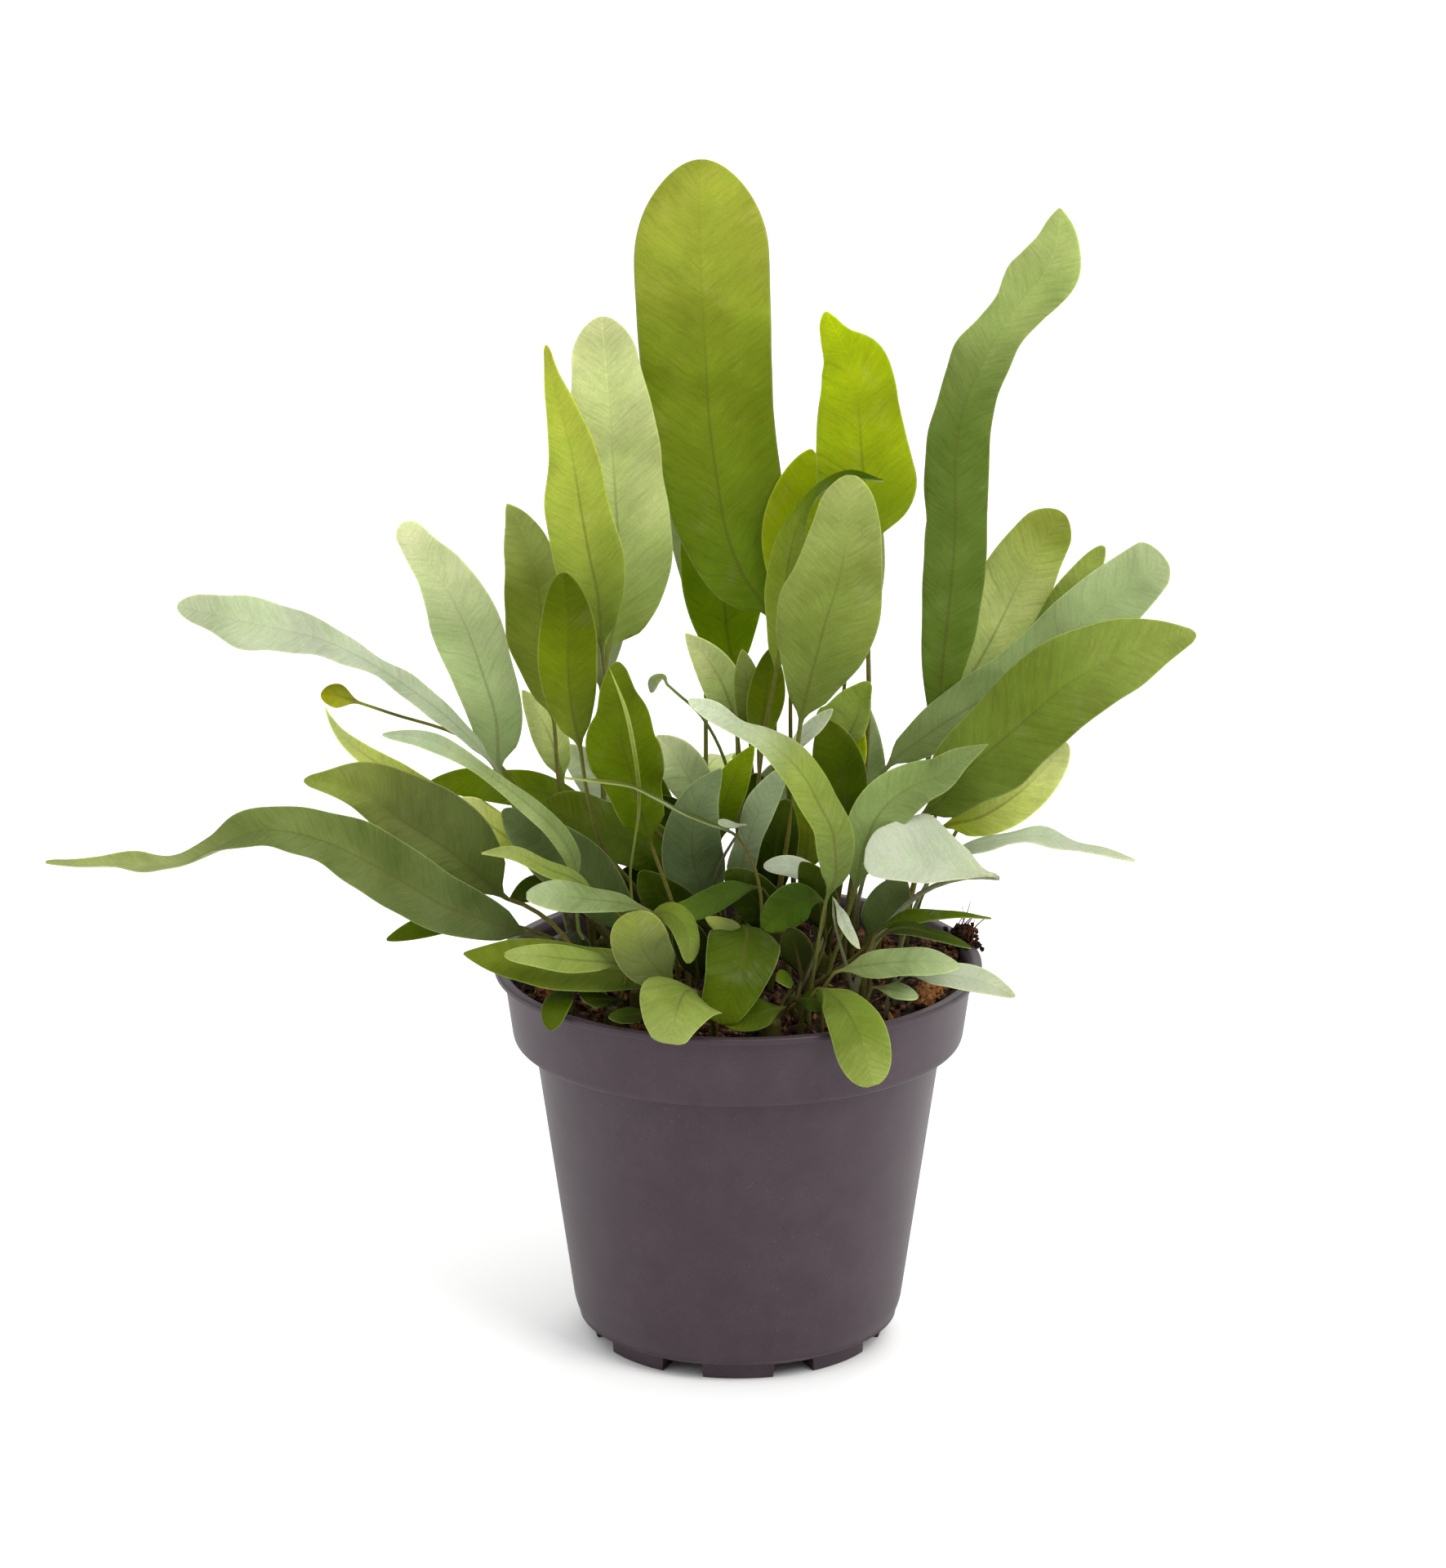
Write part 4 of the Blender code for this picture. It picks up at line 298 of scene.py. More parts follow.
# Young or half-hidden fronds, fused two or more together on a common crown
TUFTS = [
    Tuft("tuft_inner_left", (-34, 21), [
        Frond("", (-1, 0), [(-41, 17, 116)],
              [(-43, 16, 136), (-45, 16, 145), (-48, 15, 153), (-53, 15, 161)],
              4.4, 0.5, 1.2, CAMERA_SIDE, 0.1, 0.4, 1.5, "pale"),
        Frond("", (1, 0), [(-31, 21, 110)],
              [(-29, 21, 124), (-32, 21, 132), (-37, 21, 139), (-44, 21, 145)],
              5.2, 0.5, 1.3, CAMERA_SIDE, 0.1, 0.4, 1.5, "silver"),
        Frond("", (-1, -1), [(-34, 15, 116)],
              [(-35, 12, 130), (-43, 12, 134), (-51, 12, 136), (-59, 12, 137), (-67, 12, 138), (-76, 12, 138)],
              5.0, 0.45, 1.5, ((0, -0.75, 0.65),), 0.05, 0.5, 2.0, "band"),
        Frond("", (0, 1), [(-48, 12, 112)],
              [(-53, 8, 122), (-59, 7, 127), (-64, 7, 131), (-70, 7, 135)],
              4.6, 0.5, 1.5, ((0, -0.75, 0.65),), 0.05, 0.5, 2.0, "pale_yellow"),
    ]),
    Tuft("tuft_inner_right", (21, 8), [
        Frond("", (1, 1), [(25, 8, 112), (27, 8, 128)],
              [(26, 8, 146), (27, 8, 151), (29, 8, 156), (30, 8, 160), (32, 8, 165)],
              ((1, 5, 7.6, 9, 9.4, 9, 8, 6.4, 4.6, 2.8, 1.2), (1, 2.2, 3, 3.4, 3.4, 3.2, 3, 2.6, 2.2, 1.6, 0.8)),
              0.4, 0.05, CAMERA_SIDE, 0.1, 0.5, 1.5, "inner_green"),
        Frond("", (-1, -1), [(25, 3, 116)],
              [(26, 3, 128), (26, 3, 137), (24, 3, 147), (21, 3, 157)],
              6.4, 0.5, 1.5, CAMERA_SIDE, 0.1, 0.4, 1.5, "dark"),
        Frond("", (1, -1), [(26, 8, 118)],
              [(26, 9.5, 136), (28, 9.5, 143), (29, 9.5, 149), (30, 9.5, 155)],
              3.0, 0.5, 1.2, CAMERA_SIDE, 0.1, 0.4, 1.5, "bright"),
        Frond("", (0, 1.2), [(28, 18, 106)],
              [(30, 20, 114), (32, 21, 126), (32, 22, 140), (31, 22, 150), (29, 22, 160)],
              4.6, 0.45, 1.3, CAMERA_SIDE, 0.1, 0.4, 1.5, "glaucous"),
        Frond("", (-1.2, 0.5), [(14, 2, 128), (13, -1, 140)],
              [(12, -2, 147), (15, -2, 153), (19, -2, 157), (23, -2, 161)],
              2.1, 0.6, 1.3, ((0.3, -0.7, 0.6),), 0.1, 0.2, 1.5, "silver"),
    ]),
    Tuft("tuft_centre", (-2, 0), [
        Frond("", (-1, 1), [(-4, 6, 112)],
              [(-7, 9, 130), (-11, 9, 138), (-15, 9, 145), (-20, 9, 151)],
              5.6, 0.5, 1.4, CAMERA_SIDE, 0.1, 0.5, 1.5, "pale_grey"),
        Frond("", (1, -1), [(-4, -4, 112)],
              [(-5, -5, 126), (-4, -5, 136), (-1, -5, 144), (4, -5, 153)],
              4.4, 0.5, 1.1, CAMERA_SIDE, 0.1, 0.4, 1.5, "band"),
        Frond("", (1, 1), [(12, -3, 106)],
              [(15, -5, 118), (17, -6, 128), (16, -6, 138), (12, -6, 146)],
              5.0, 0.5, 1.3, CAMERA_SIDE, 0.1, 0.4, 1.5, "deep"),
        Frond("", (0, -1.5), [(9, -7, 106)],
              [(11, -8, 115), (9, -8, 124), (10, -8, 132), (12, -8, 140)],
              5.4, 0.5, 1.5, CAMERA_SIDE, 0.1, 0.4, 1.5, "shade"),
        Frond("", (-1.5, 0), [(-6, -12, 120), (0, -14, 133)],
              [(2, -14, 135), (-1, -14, 135), (-5, -14, 136)],
              1.8, 0.5, 1.7, ((0, -0.5, 0.8),), 0.05, 0.2, 1.0, "silver"),
        Frond("", (-1, -1), [(-6, 2, 102)],
              [(-9, 6, 108), (-16, 8, 112), (-24, 9, 113), (-32, 9, 110)],
              5.6, 0.5, 1.6, ((0, -0.8, 0.6),), 0.05, 0.5, 1.5, "night"),
    ]),
    Tuft("tuft_behind", (2, 20), [
        Frond("", (-1, 0), [(1, 21, 128)],
              [(0, 20, 147), (-2, 20, 156), (-6, 20, 165), (-13, 20, 174)],
              5.0, 0.5, 1.2, CAMERA_SIDE, 0.1, 0.4, 1.5, "pale"),
        Frond("", (1, 0), [(4, 18, 133)],
              [(3, 17, 146), (3, 16, 156), (2, 16, 164), (1, 16, 171)],
              3.8, 0.5, 1.3, ((0.1, -0.95, 0.2),), 0.1, 0.2, 1.5, "pale_green"),
        Frond("", (1, -1), [(6, 14, 123)],
              [(5, 13.5, 146), (6, 13.5, 154), (7, 13.5, 161), (8, 13.5, 172)],
              4.6, 0.5, 1.4, ((0.1, -1, 0.2),), 0.1, 0.5, 1.5, "deep"),
        Frond("", (0, 1.2), [(8, 16, 104)],
              [(9, 16, 112), (8, 15, 122), (6, 14, 131), (4, 14, 140)],
              5.4, 0.5, 1.6, CAMERA_SIDE, 0.1, 0.5, 1.5, "shade"),
        Frond("", (-1, -1), [(-5, 17, 103)],
              [(-8, 15, 110), (-12, 14, 119), (-15, 14, 127), (-20, 14, 134)],
              5.2, 0.5, 1.6, CAMERA_SIDE, 0.1, 0.5, 1.5, "shade"),
    ]),
    Tuft("tuft_low_left", (-24, -18), [
        Frond("", (-1, 0), [(-21, -17, 101)],
              [(-23, -17, 108), (-31, -17, 116), (-38, -17, 124), (-47, -17, 131), (-57, -17, 140)],
              7.6, 0.5, 1.5, CAMERA_SIDE, 0.05, 0.6, 2.0, "dusky_grey"),
        Frond("", (0.5, -1), [(-27, -24, 113)],
              [(-33, -27, 120), (-39, -27, 125), (-46, -27, 128), (-54, -27, 132), (-62, -27, 132)],
              2.6, 0.5, 1.2, ((0, -0.6, 0.8),), 0.1, 0.4, 1.5, "pale_green"),
        Frond("", (-1, 1), [(-38, -17, 107), (-39, -20, 117)],
              [(-39, -22, 122), (-40, -22, 129), (-44, -22, 136), (-50, -22, 142), (-58, -20, 148),
               (-68, -17, 154), (-76, -15, 157), (-86, -14, 158)],
              ((0.8, 2, 2.6, 2.7, 2.5, 2, 1.6, 2.2, 2.6, 2, 0.6), (0.8, 2, 2.6, 2.6, 2.4, 1.8, 1.6, 2.2, 2.6, 2,
               0.6)),
              0.6, 0.04, ((0.3, -0.9, 0.3), (0.3, -0.8, 0.5), (0, -0.7, 0.7)), 0.1, 0.3, 2.0, "long_green"),
        Frond("", (-1, 1.5), [(-44, -12, 105)],
              [(-56, -11, 109), (-66, -10, 110), (-76, -10, 108), (-86, -10, 104.5)],
              3.0, 0.5, 1.5, ((0, -0.8, 0.6),), 0.1, 0.3, 1.5, "dark"),
        Frond("", (1, 1), [(-30, -12, 104)],
              [(-35, -8, 110), (-42, -6, 114), (-49, -5, 116), (-56, -5, 113)],
              4.2, 0.5, 1.4, ((0, -0.7, 0.7),), 0.1, 0.4, 1.5, "shade"),
    ]),
    Tuft("tuft_low_centre", (14, -24), [
        Frond("", (0, -1), [(20, -26, 112)],
              [(21, -27, 119), (18, -28, 121), (14, -28, 120), (10, -28, 117), (6, -28, 113)],
              5.0, 0.5, 1.7, CAMERA_SIDE, 0.05, 0.3, 1.5, "leaf_green"),
        Frond("", (1, 1), [(23, -20, 114)],
              [(23, -20, 120), (19, -19.5, 123.5), (13, -18.5, 126), (6, -18, 126)],
              2.9, 0.6, 1.7, ((0, -0.7, 0.7),), 0.05, 0.2, 1.0, "whitish"),
        Frond("", (-1, 1), [(9, -21, 114)],
              [(6, -24, 122), (-1, -25, 122), (-7, -25, 119), (-12, -25, 117), (-17, -25, 117)],
              3.4, 0.6, 1.6, ((0, -0.8, 0.6),), 0.05, 0.3, 1.5, "leaf_green"),
        Frond("", (-1.2, -0.5), [(12, -20, 103)],
              [(11, -20, 109), (7, -21, 115), (2, -21, 121), (-3, -21, 126)],
              5.6, 0.5, 1.4, CAMERA_SIDE, 0.05, 0.4, 1.5, "shade"),
        Frond("", (1.2, 0), [(19, -25, 103)],
              [(21, -25, 109), (20, -24, 117), (18, -24, 124), (15, -24, 129)],
              4.6, 0.5, 1.4, CAMERA_SIDE, 0.05, 0.4, 1.5, "shade"),
        Frond("", (1.4, 1), [(27, -22, 103)],
              [(31, -22, 107), (34, -22, 113), (37, -22, 119), (40, -22, 125)],
              5.6, 0.5, 1.3, ((0.2, -0.9, 0.3),), 0.05, 0.4, 1.5, "dusky_grey"),
    ]),
    Tuft("tuft_grey", (-1, -11), [
        Frond("", (-1, 0), [],
              [(-6, -12, 112), (-9, -12, 119), (-11, -12, 126), (-11, -12, 133), (-9, -12, 141),
               (-4, -12, 149)],
              7.6, 0.35, 1.2, ((0, -0.95, 0.3),), 0.1, 0.6, 2.0, "grey_leaf"),
        Frond("", (1, 0), [],
              [(0, -11, 116), (1, -11, 124), (3, -11, 132), (6, -12, 140), (11, -12, 149)],
              ((1, 3, 3.6, 3.4, 3.2, 3.4, 3.8, 4, 3.4, 2.4, 1), (1, 3, 3.4, 3.4, 3.4, 3.6, 3.8, 3.6, 3.2, 2.4, 1)),
              0.55, 0.05, ((0.1, -1, 0.2), (-0.3, -1, 0.2), (0.2, -1, 0.3)), 0.15, 0.6, 2.0, "grey_silver"),
        Frond("", (-0.5, -1), [(-4, -13, 103)],
              [(-6, -14, 108), (-13, -15, 113), (-19, -16, 118), (-24, -16, 124)],
              5.2, 0.5, 1.5, CAMERA_SIDE, 0.05, 0.4, 1.5, "shade"),
    ]),
    Tuft("tuft_edge_on", (5, -26), [
        Frond("", (0, -1), [(5, -27, 124)],
              [(0, -27, 136), (-8, -27, 140), (-15, -27, 143), (-20, -27, 146), (-26, -27, 149),
               (-33, -27, 150), (-42, -27, 151)],
              2.6, 0.4, 1.0, ((0, 0.12, 1),), 0.05, 0.2, 2.0, "dusky"),
        Frond("", (-1, 2), [(2, -4, 112), (0, 2, 127), (-2, -2, 143), (-5, -8, 154), (-10, -14, 164)],
              [(-17, -16, 171), (-18, -16, 173), (-20, -16, 172), (-21, -16, 169)],
              2.2, 0.5, 1.6, ((0.2, -0.5, 0.8), (-0.8, -0.5, 0.3)), 0.1, 0.1, 1.0, "long_green"),
        Frond("", (1, 0), [(4, -31, 105)],
              [(3, -35, 112), (0, -36, 115), (-4, -37, 117), (-8, -37, 119)],
              2.5, 0.5, 1.3, ((0, -0.7, 0.7),), 0.05, 0.3, 1.5, "dusky"),
        Frond("", (-1.5, -1), [(-22, -28, 108)],
              [(-26, -24, 124), (-25, -24, 134), (-24, -24, 141), (-24, -24, 149), (-25, -24, 157),
               (-27, -24, 167), (-31, -24, 178)],
              0.55, 0.7, 1.0, CAMERA_SIDE, 0.1, 0.1, 1.0, "pale_green"),
    ]),
    Tuft("tuft_left_rim", (-30, -35), [
        Frond("", (-1, 0), [(-36, -35, 100)],
              [(-39, -36, 101.5), (-42, -40, 100.5), (-44, -44, 98), (-45, -46, 93.5)],
              3.6, 0.55, 1.6, ((-0.3, -0.7, 0.7), (-0.4, -0.9, 0.2)), 0.05, 0.2, 1.0, "dark"),
        Frond("", (1, -1), [(-27, -42, 105)],
              [(-27, -46, 110), (-32, -47, 111), (-40, -48, 112), (-48, -48, 113), (-56, -47, 113)],
              3.5, 0.5, 1.7, ((0, -0.7, 0.7),), 0.05, 0.3, 1.5, "pale_green"),
        Frond("", (1.3, 0.8), [(-28, -38, 97)],
              [(-28, -40, 99), (-33, -42, 100), (-38, -42, 101)],
              2.6, 0.5, 1.5, ((0, -0.6, 0.8),), 0.05, 0.2, 1.0, "shade"),
        Frond("", (0, 1.2), [(-33, -28, 98)],
              [(-35, -25, 102), (-39, -20, 105), (-43, -14, 106), (-46, -8, 104)],
              4.2, 0.5, 1.5, ((0, -0.6, 0.8),), 0.05, 0.3, 1.5, "night"),
    ]),
    Tuft("tuft_front_left", (-18, -38), [
        Frond("", (1, -1), [(-14, -42, 99)],
              [(-15, -45, 104), (-19, -47, 109), (-23, -48, 115), (-25, -47, 124)],
              7.0, 0.6, 2.1, ((0.1, -0.95, 0.3),), 0.05, 0.5, 1.5, "dusky"),
        Frond("", (-1, 1), [(-22, -40, 110)],
              [(-22, -41, 119), (-18, -42, 122), (-14, -43, 120), (-12, -44, 115), (-12, -45, 110)],
              3.8, 0.55, 1.6, ((0.3, -0.7, 0.7), (0.6, -0.7, 0.5)), 0.1, 0.3, 1.5, "green"),
        Frond("", (-1, -1), [(-19, -43, 97)],
              [(-20, -46, 98.5), (-25, -49, 98.5), (-31, -50.5, 98.5)],
              2.6, 0.5, 1.5, ((0, -0.6, 0.8),), 0.05, 0.2, 1.0, "shade"),
        Frond("", (1.2, 0.5), [(-12, -36, 97)],
              [(-10, -36, 101), (-10, -36, 107), (-12, -35, 113), (-15, -34, 118)],
              4.4, 0.5, 1.6, ((0, -0.9, 0.4),), 0.05, 0.3, 1.5, "night"),
    ]),
    Tuft("tuft_front", (8, -42), [
        Frond("", (0, -1), [(9, -45, 99)],
              [(11, -48, 100), (8, -51, 100.5), (3, -52.5, 99.5), (-4, -53, 98.5)],
              4.2, 0.55, 1.8, ((0, -0.65, 0.75),), 0.05, 0.2, 1.0, "dark"),
        Frond("", (1, 0), [(11, -41, 100)],
              [(13, -42, 103), (12, -45, 106), (9, -48, 107)],
              3.0, 0.5, 1.5, ((0, -0.7, 0.7),), 0.05, 0.2, 1.0, "dark"),
        Frond("", (1, 1), [(12, -40, 98)],
              [(13, -43, 100), (17, -46, 101.5), (22, -46, 100.5)],
              3.4, 0.5, 1.6, ((0, -0.7, 0.7),), 0.05, 0.2, 1.0, "shade"),
        Frond("", (-1, 1), [(4, -38, 98)],
              [(3, -38, 103), (4, -37, 109), (6, -36, 115)],
              4.2, 0.5, 1.5, ((0, -0.9, 0.4),), 0.05, 0.3, 1.0, "night"),
        Frond("", (0, 1.3), [(14, -37, 98)],
              [(15, -37, 103), (14, -36, 110), (12, -35, 116)],
              4.0, 0.5, 1.5, ((0, -0.9, 0.4),), 0.05, 0.3, 1.0, "night"),
    ]),
    Tuft("tuft_low_right", (30, -37), [
        Frond("", (0, 1), [(31, -33, 106)],
              [(33, -31, 113), (40, -32, 117), (50, -33, 118.5), (61, -33, 117.5)],
              2.6, 0.3, 0.9, ((0, -0.4, 0.9),), 0.05, 0.3, 1.5, "dark"),
        Frond("", (1, -1), [(32, -39, 108)],
              [(33, -39, 114), (39, -39, 117), (48, -39, 115), (56, -39, 112)],
              2.3, 0.5, 1.1, ((0, -0.5, 0.9),), 0.05, 0.3, 1.5, "shade"),
        Frond("", (-1, -1), [(27, -39, 103), (23, -40, 119)],
              [(22.5, -40, 125), (24, -40, 122), (26, -40, 117), (29, -40, 112)],
              1.9, 0.5, 1.2, ((0.5, -0.7, 0.4),), 0.1, 0.3, 1.5, "silver"),
        Frond("", (-0.5, -1.2), [(31, -41, 100)],
              [(32, -42, 103), (35, -43, 103), (39, -43.5, 102.5), (43, -43.5, 101)],
              2.6, 0.5, 1.6, ((0, -0.6, 0.8),), 0.05, 0.2, 1.0, "glaucous"),
    ]),
    Tuft("tuft_back_low", (-18, 38), [
        Frond("", (-1, 0), [(-24, 44, 106)],
              [(-28, 50, 111), (-35, 60, 111), (-42, 70, 106), (-48, 80, 98)],
              6.0, 0.5, 1.6, ((-0.2, 0.4, 0.9),), 0.1, 0.6, 2.0, "green"),
        Frond("", (0, 1), [(-18, 46, 108)],
              [(-18, 53, 114), (-17, 63, 114), (-16, 75, 108), (-15, 86, 98)],
              6.4, 0.5, 1.6, ((0, 0.4, 0.9),), 0.1, 0.6, 2.0, "olive"),
        Frond("", (1, 0), [(-12, 43, 116)],
              [(-10, 48, 124), (-8, 55, 128), (-5, 64, 129), (-2, 74, 126)],
              4.6, 0.5, 1.4, ((0, 0.3, 0.9),), 0.1, 0.5, 2.0, "pale"),
        Frond("", (1, 1), [(-4, 42, 100)],
              [(0, 44, 106), (5, 45, 115), (8, 44, 124), (9, 42, 134)],
              5.8, 0.5, 1.4, ((0.1, 0.95, 0.2),), 0.1, 0.5, 2.0, "dark"),
        Frond("", (-1, 1), [(-28, 41, 100)],
              [(-34, 42, 106), (-40, 41, 115), (-46, 40, 123), (-53, 38, 129)],
              5.6, 0.5, 1.4, ((-0.3, 0.9, 0.3),), 0.1, 0.5, 2.0, "green"),
        Frond("", (0, -1), [(-14, 33, 102)],
              [(-16, 32, 110), (-20, 31, 120), (-23, 31, 130), (-25, 31, 140)],
              6.2, 0.5, 1.4, ((0, -0.95, 0.2),), 0.1, 0.5, 2.0, "dark"),
    ]),
]

# Fronds behind, which the picture hides
BACK_FRONDS = [
    Frond("frond_back_tall", (-8, 38), [(-8, 46, 138)],
          [(-8, 52, 163), (-8, 54, 183), (-9, 56, 203), (-10, 58, 223), (-11, 60, 238)],
          9.5, 0.5, 1.7, ((0, 1, 0.2),), 0.1, 1.2, 2.5, "vivid"),
    Frond("frond_back_left", (-24, 28), [(-30, 36, 128)],
          [(-34, 41, 153), (-35, 43, 170), (-35, 44, 188), (-36, 45, 210)],
          9.0, 0.5, 1.5, ((-0.1, 1, 0.2),), 0.1, 1.0, 2.5, "green"),
    Frond("frond_back_right", (22, 34), [(25, 42, 133)],
          [(27, 46, 158), (28, 47, 176), (28, 48, 193), (28, 49, 211)],
          8.5, 0.5, 1.6, ((0.1, 1, 0.2),), 0.1, 1.0, 2.5, "pale_green"),
    Frond("frond_back_far_right", (36, 36), [(45, 46, 123)],
          [(52, 54, 148), (53, 56, 168), (53, 58, 188), (53, 59, 208)],
          7.0, 0.5, 1.4, ((0.2, 1, 0.2),), 0.1, 1.0, 2.5, "green"),
    Frond("frond_back_reaching_right", (44, 30), [(54, 38, 116)],
          [(62, 45, 126), (72, 52, 138), (82, 57, 147), (92, 60, 152)],
          6.5, 0.5, 1.4, ((0.1, 0.3, 0.9),), 0.1, 0.8, 2.5, "glaucous"),
    Frond("frond_back_reaching_left", (-40, 30), [(-48, 36, 108)],
          [(-56, 40, 112), (-68, 44, 114), (-80, 48, 113), (-94, 50, 108)],
          6.5, 0.5, 1.4, ((0, 0.3, 0.9),), 0.1, 0.8, 2.5, "grey_green"),
    Frond("frond_back_over_rim", (6, 42), [(6, 48, 106)],
          [(6, 54, 111), (8, 65, 112), (10, 77, 106), (12, 88, 95)],
          7.0, 0.5, 1.6, ((0, 0.4, 0.9),), 0.1, 0.8, 2.0, "dark"),
    Frond("frond_back_low_right", (30, 42), [(33, 47, 106)],
          [(36, 53, 110), (43, 63, 110), (49, 73, 104), (54, 82, 95)],
          6.2, 0.5, 1.5, ((0.2, 0.4, 0.9),), 0.1, 0.7, 2.0, "silver"),
]

GROUPS = {
    "centre": CENTRE_FRONDS,
    "left": LEFT_FRONDS,
    "front": FRONT_FRONDS,
    "right": RIGHT_FRONDS,
    "back": BACK_FRONDS,
}

RHIZOMES = {
    "rhizome_left": (152, 198),
    "rhizome_right": (-22, 8),
}

# Blade colours at the foot, middle and tip as sRGB bytes, waxy bloom on them, and how green their stems are
TONES = {
    "olive": ((104, 130, 2), (118, 134, 10), (160, 166, 56), 0.05, 0.2),
    # painted light: brightened beyond the blade's own green so that a frond in the tallest one's shade looks lit
    # through
    "vivid": ((124, 152, 4), (116, 140, 2), (102, 124, 4), 0.0, 0.3),
    "moss": ((88, 110, 0), (92, 111, 0), (100, 118, 10), 0.0, 0.3),
    "green": ((94, 112, 24), (104, 122, 24), (146, 160, 72), 0.08, 0.3),
    "olive_green": ((134, 146, 42), (128, 140, 30), (162, 172, 90), 0.1, 0.2),
    "front_green": ((58, 72, 2), (102, 118, 26), (104, 118, 8), 0.05, 0.4),
    "leaf_green": ((50, 80, 0), (66, 96, 4), (86, 110, 10), 0.05, 0.4),
    "inner_green": ((128, 146, 60), (142, 160, 66), (136, 152, 50), 0.1, 0.5),
    "deep": ((120, 134, 40), (106, 120, 8), (82, 98, 0), 0.0, 0.4),
    "band": ((80, 98, 0), (98, 118, 0), (114, 134, 4), 0.0, 0.3),
    "dark": ((50, 68, 0), (64, 84, 0), (82, 98, 6), 0.0, 0.3),
    # painted shade: these two tones are darkened greens for fronds deep inside the tufts, where shade falls
    "shade": ((26, 38, 0), (40, 56, 0), (56, 72, 4), 0.0, 0.3),
    "night": ((14, 22, 0), (22, 33, 0), (34, 46, 2), 0.0, 0.3),
    "pale": ((138, 156, 60), (202, 213, 136), (212, 214, 156), 0.15, 0.3),
    "pale_grey": ((138, 156, 98), (168, 182, 128), (214, 217, 172), 0.25, 0.3),
    "pale_green": ((98, 114, 26), (126, 141, 48), (158, 168, 88), 0.15, 0.5),
    "pale_olive": ((124, 146, 78), (204, 212, 138), (154, 164, 60), 0.1, 0.2),
    "pale_yellow": ((150, 161, 20), (208, 214, 118), (230, 232, 164), 0.05, 0.2),
    "yellow": ((114, 132, 40), (166, 177, 66), (180, 187, 64), 0.05, 0.3),
    "gold": ((158, 162, 60), (162, 164, 40), (160, 160, 16), 0.0, 0.9),
    "bright": ((140, 160, 30), (156, 172, 16), (170, 186, 12), 0.0, 0.2),
    "arching": ((104, 124, 52), (138, 154, 58), (204, 210, 190), 0.1, 0.5),
    # painted shade: the tip colour is dark because the arching part's edge lies in shade
    "arc": ((140, 154, 60), (134, 152, 40), (62, 86, 2), 0.0, 0.3),
    "glaucous": ((100, 116, 44), (124, 141, 80), (168, 181, 132), 0.3, 0.4),
    "deep_glaucous": ((86, 110, 0), (84, 107, 10), (168, 181, 108), 0.12, 0.2),
    "strap_green": ((106, 126, 50), (130, 150, 78), (120, 138, 72), 0.2, 0.6),
    "long_green": ((120, 140, 66), (132, 148, 80), (168, 180, 150), 0.3, 1.0),
    "grey_green": ((70, 84, 26), (96, 110, 42), (146, 152, 88), 0.15, 0.2),
    "grey_silver": ((72, 92, 32), (126, 142, 100), (146, 160, 122), 0.35, 0.5),
    "grey_leaf": ((54, 74, 20), (76, 95, 44), (128, 145, 98), 0.25, 0.3),
    "dusky": ((76, 90, 22), (90, 100, 42), (132, 142, 54), 0.1, 0.3),
    "dusky_grey": ((60, 78, 22), (80, 96, 44), (100, 114, 66), 0.1, 0.3),
    "silver": ((144, 154, 122), (188, 195, 174), (188, 194, 164), 0.45, 0.6),
    "whitish": ((204, 210, 178), (198, 204, 184), (204, 209, 190), 0.7, 0.5),
}


def unit(vectors):
    """Vectors scaled to length one."""
    return vectors / np.linalg.norm(vectors, axis=-1, keepdims=True)


def smooth_step(x, low, high):
    """Rises from 0 at low to 1 at high along 3u^2 - 2u^3."""
    u = np.clip((x - low) / (high - low), 0, 1)
    return u * u * (3 - 2 * u)


def hermite(samples, knots, values, slopes):
    """Cubic through values at knots with the given slopes, read at the samples."""
    k = np.clip(np.searchsorted(knots, samples, side="right") - 1, 0, len(knots) - 2)
    span = (knots[k + 1] - knots[k])
    u = (samples - knots[k]) / span
    if values.ndim > 1:
        span = span[:, None]
        u = u[:, None]
    return (
        (2 * u**3 - 3 * u**2 + 1) * values[k]
        + (u**3 - 2 * u**2 + u) * span * slopes[k]
        + (3 * u**2 - 2 * u**3) * values[k + 1]
        + (u**3 - u**2) * span * slopes[k + 1]
    )


def smooth_path(points):
    """A dense smooth curve that leaves the first point straight up and runs through all the others."""
    points = np.array(points, float)
    chords = np.linalg.norm(np.diff(points, axis=0), axis=1)
    knots = np.concatenate([[0], np.cumsum(np.sqrt(chords))])
    slopes = np.gradient(points, knots, axis=0, edge_order=1)
    slopes[0] = (0, 0, np.linalg.norm(slopes[0]))
    return hermite(np.linspace(0, knots[-1], 40 * len(knots)), knots, points, slopes)


def at_lengths(path, along, wanted):
    """Points and unit tangents of a dense path at the wanted lengths from its start."""
    place = np.stack([np.interp(wanted, along, path[:, a]) for a in range(3)], axis=1)
    ahead = np.stack([np.interp(wanted + 0.6, along, path[:, a]) for a in range(3)], axis=1)
    behind = np.stack([np.interp(wanted - 0.6, along, path[:, a]) for a in range(3)], axis=1)
    return place, unit(ahead - behind)


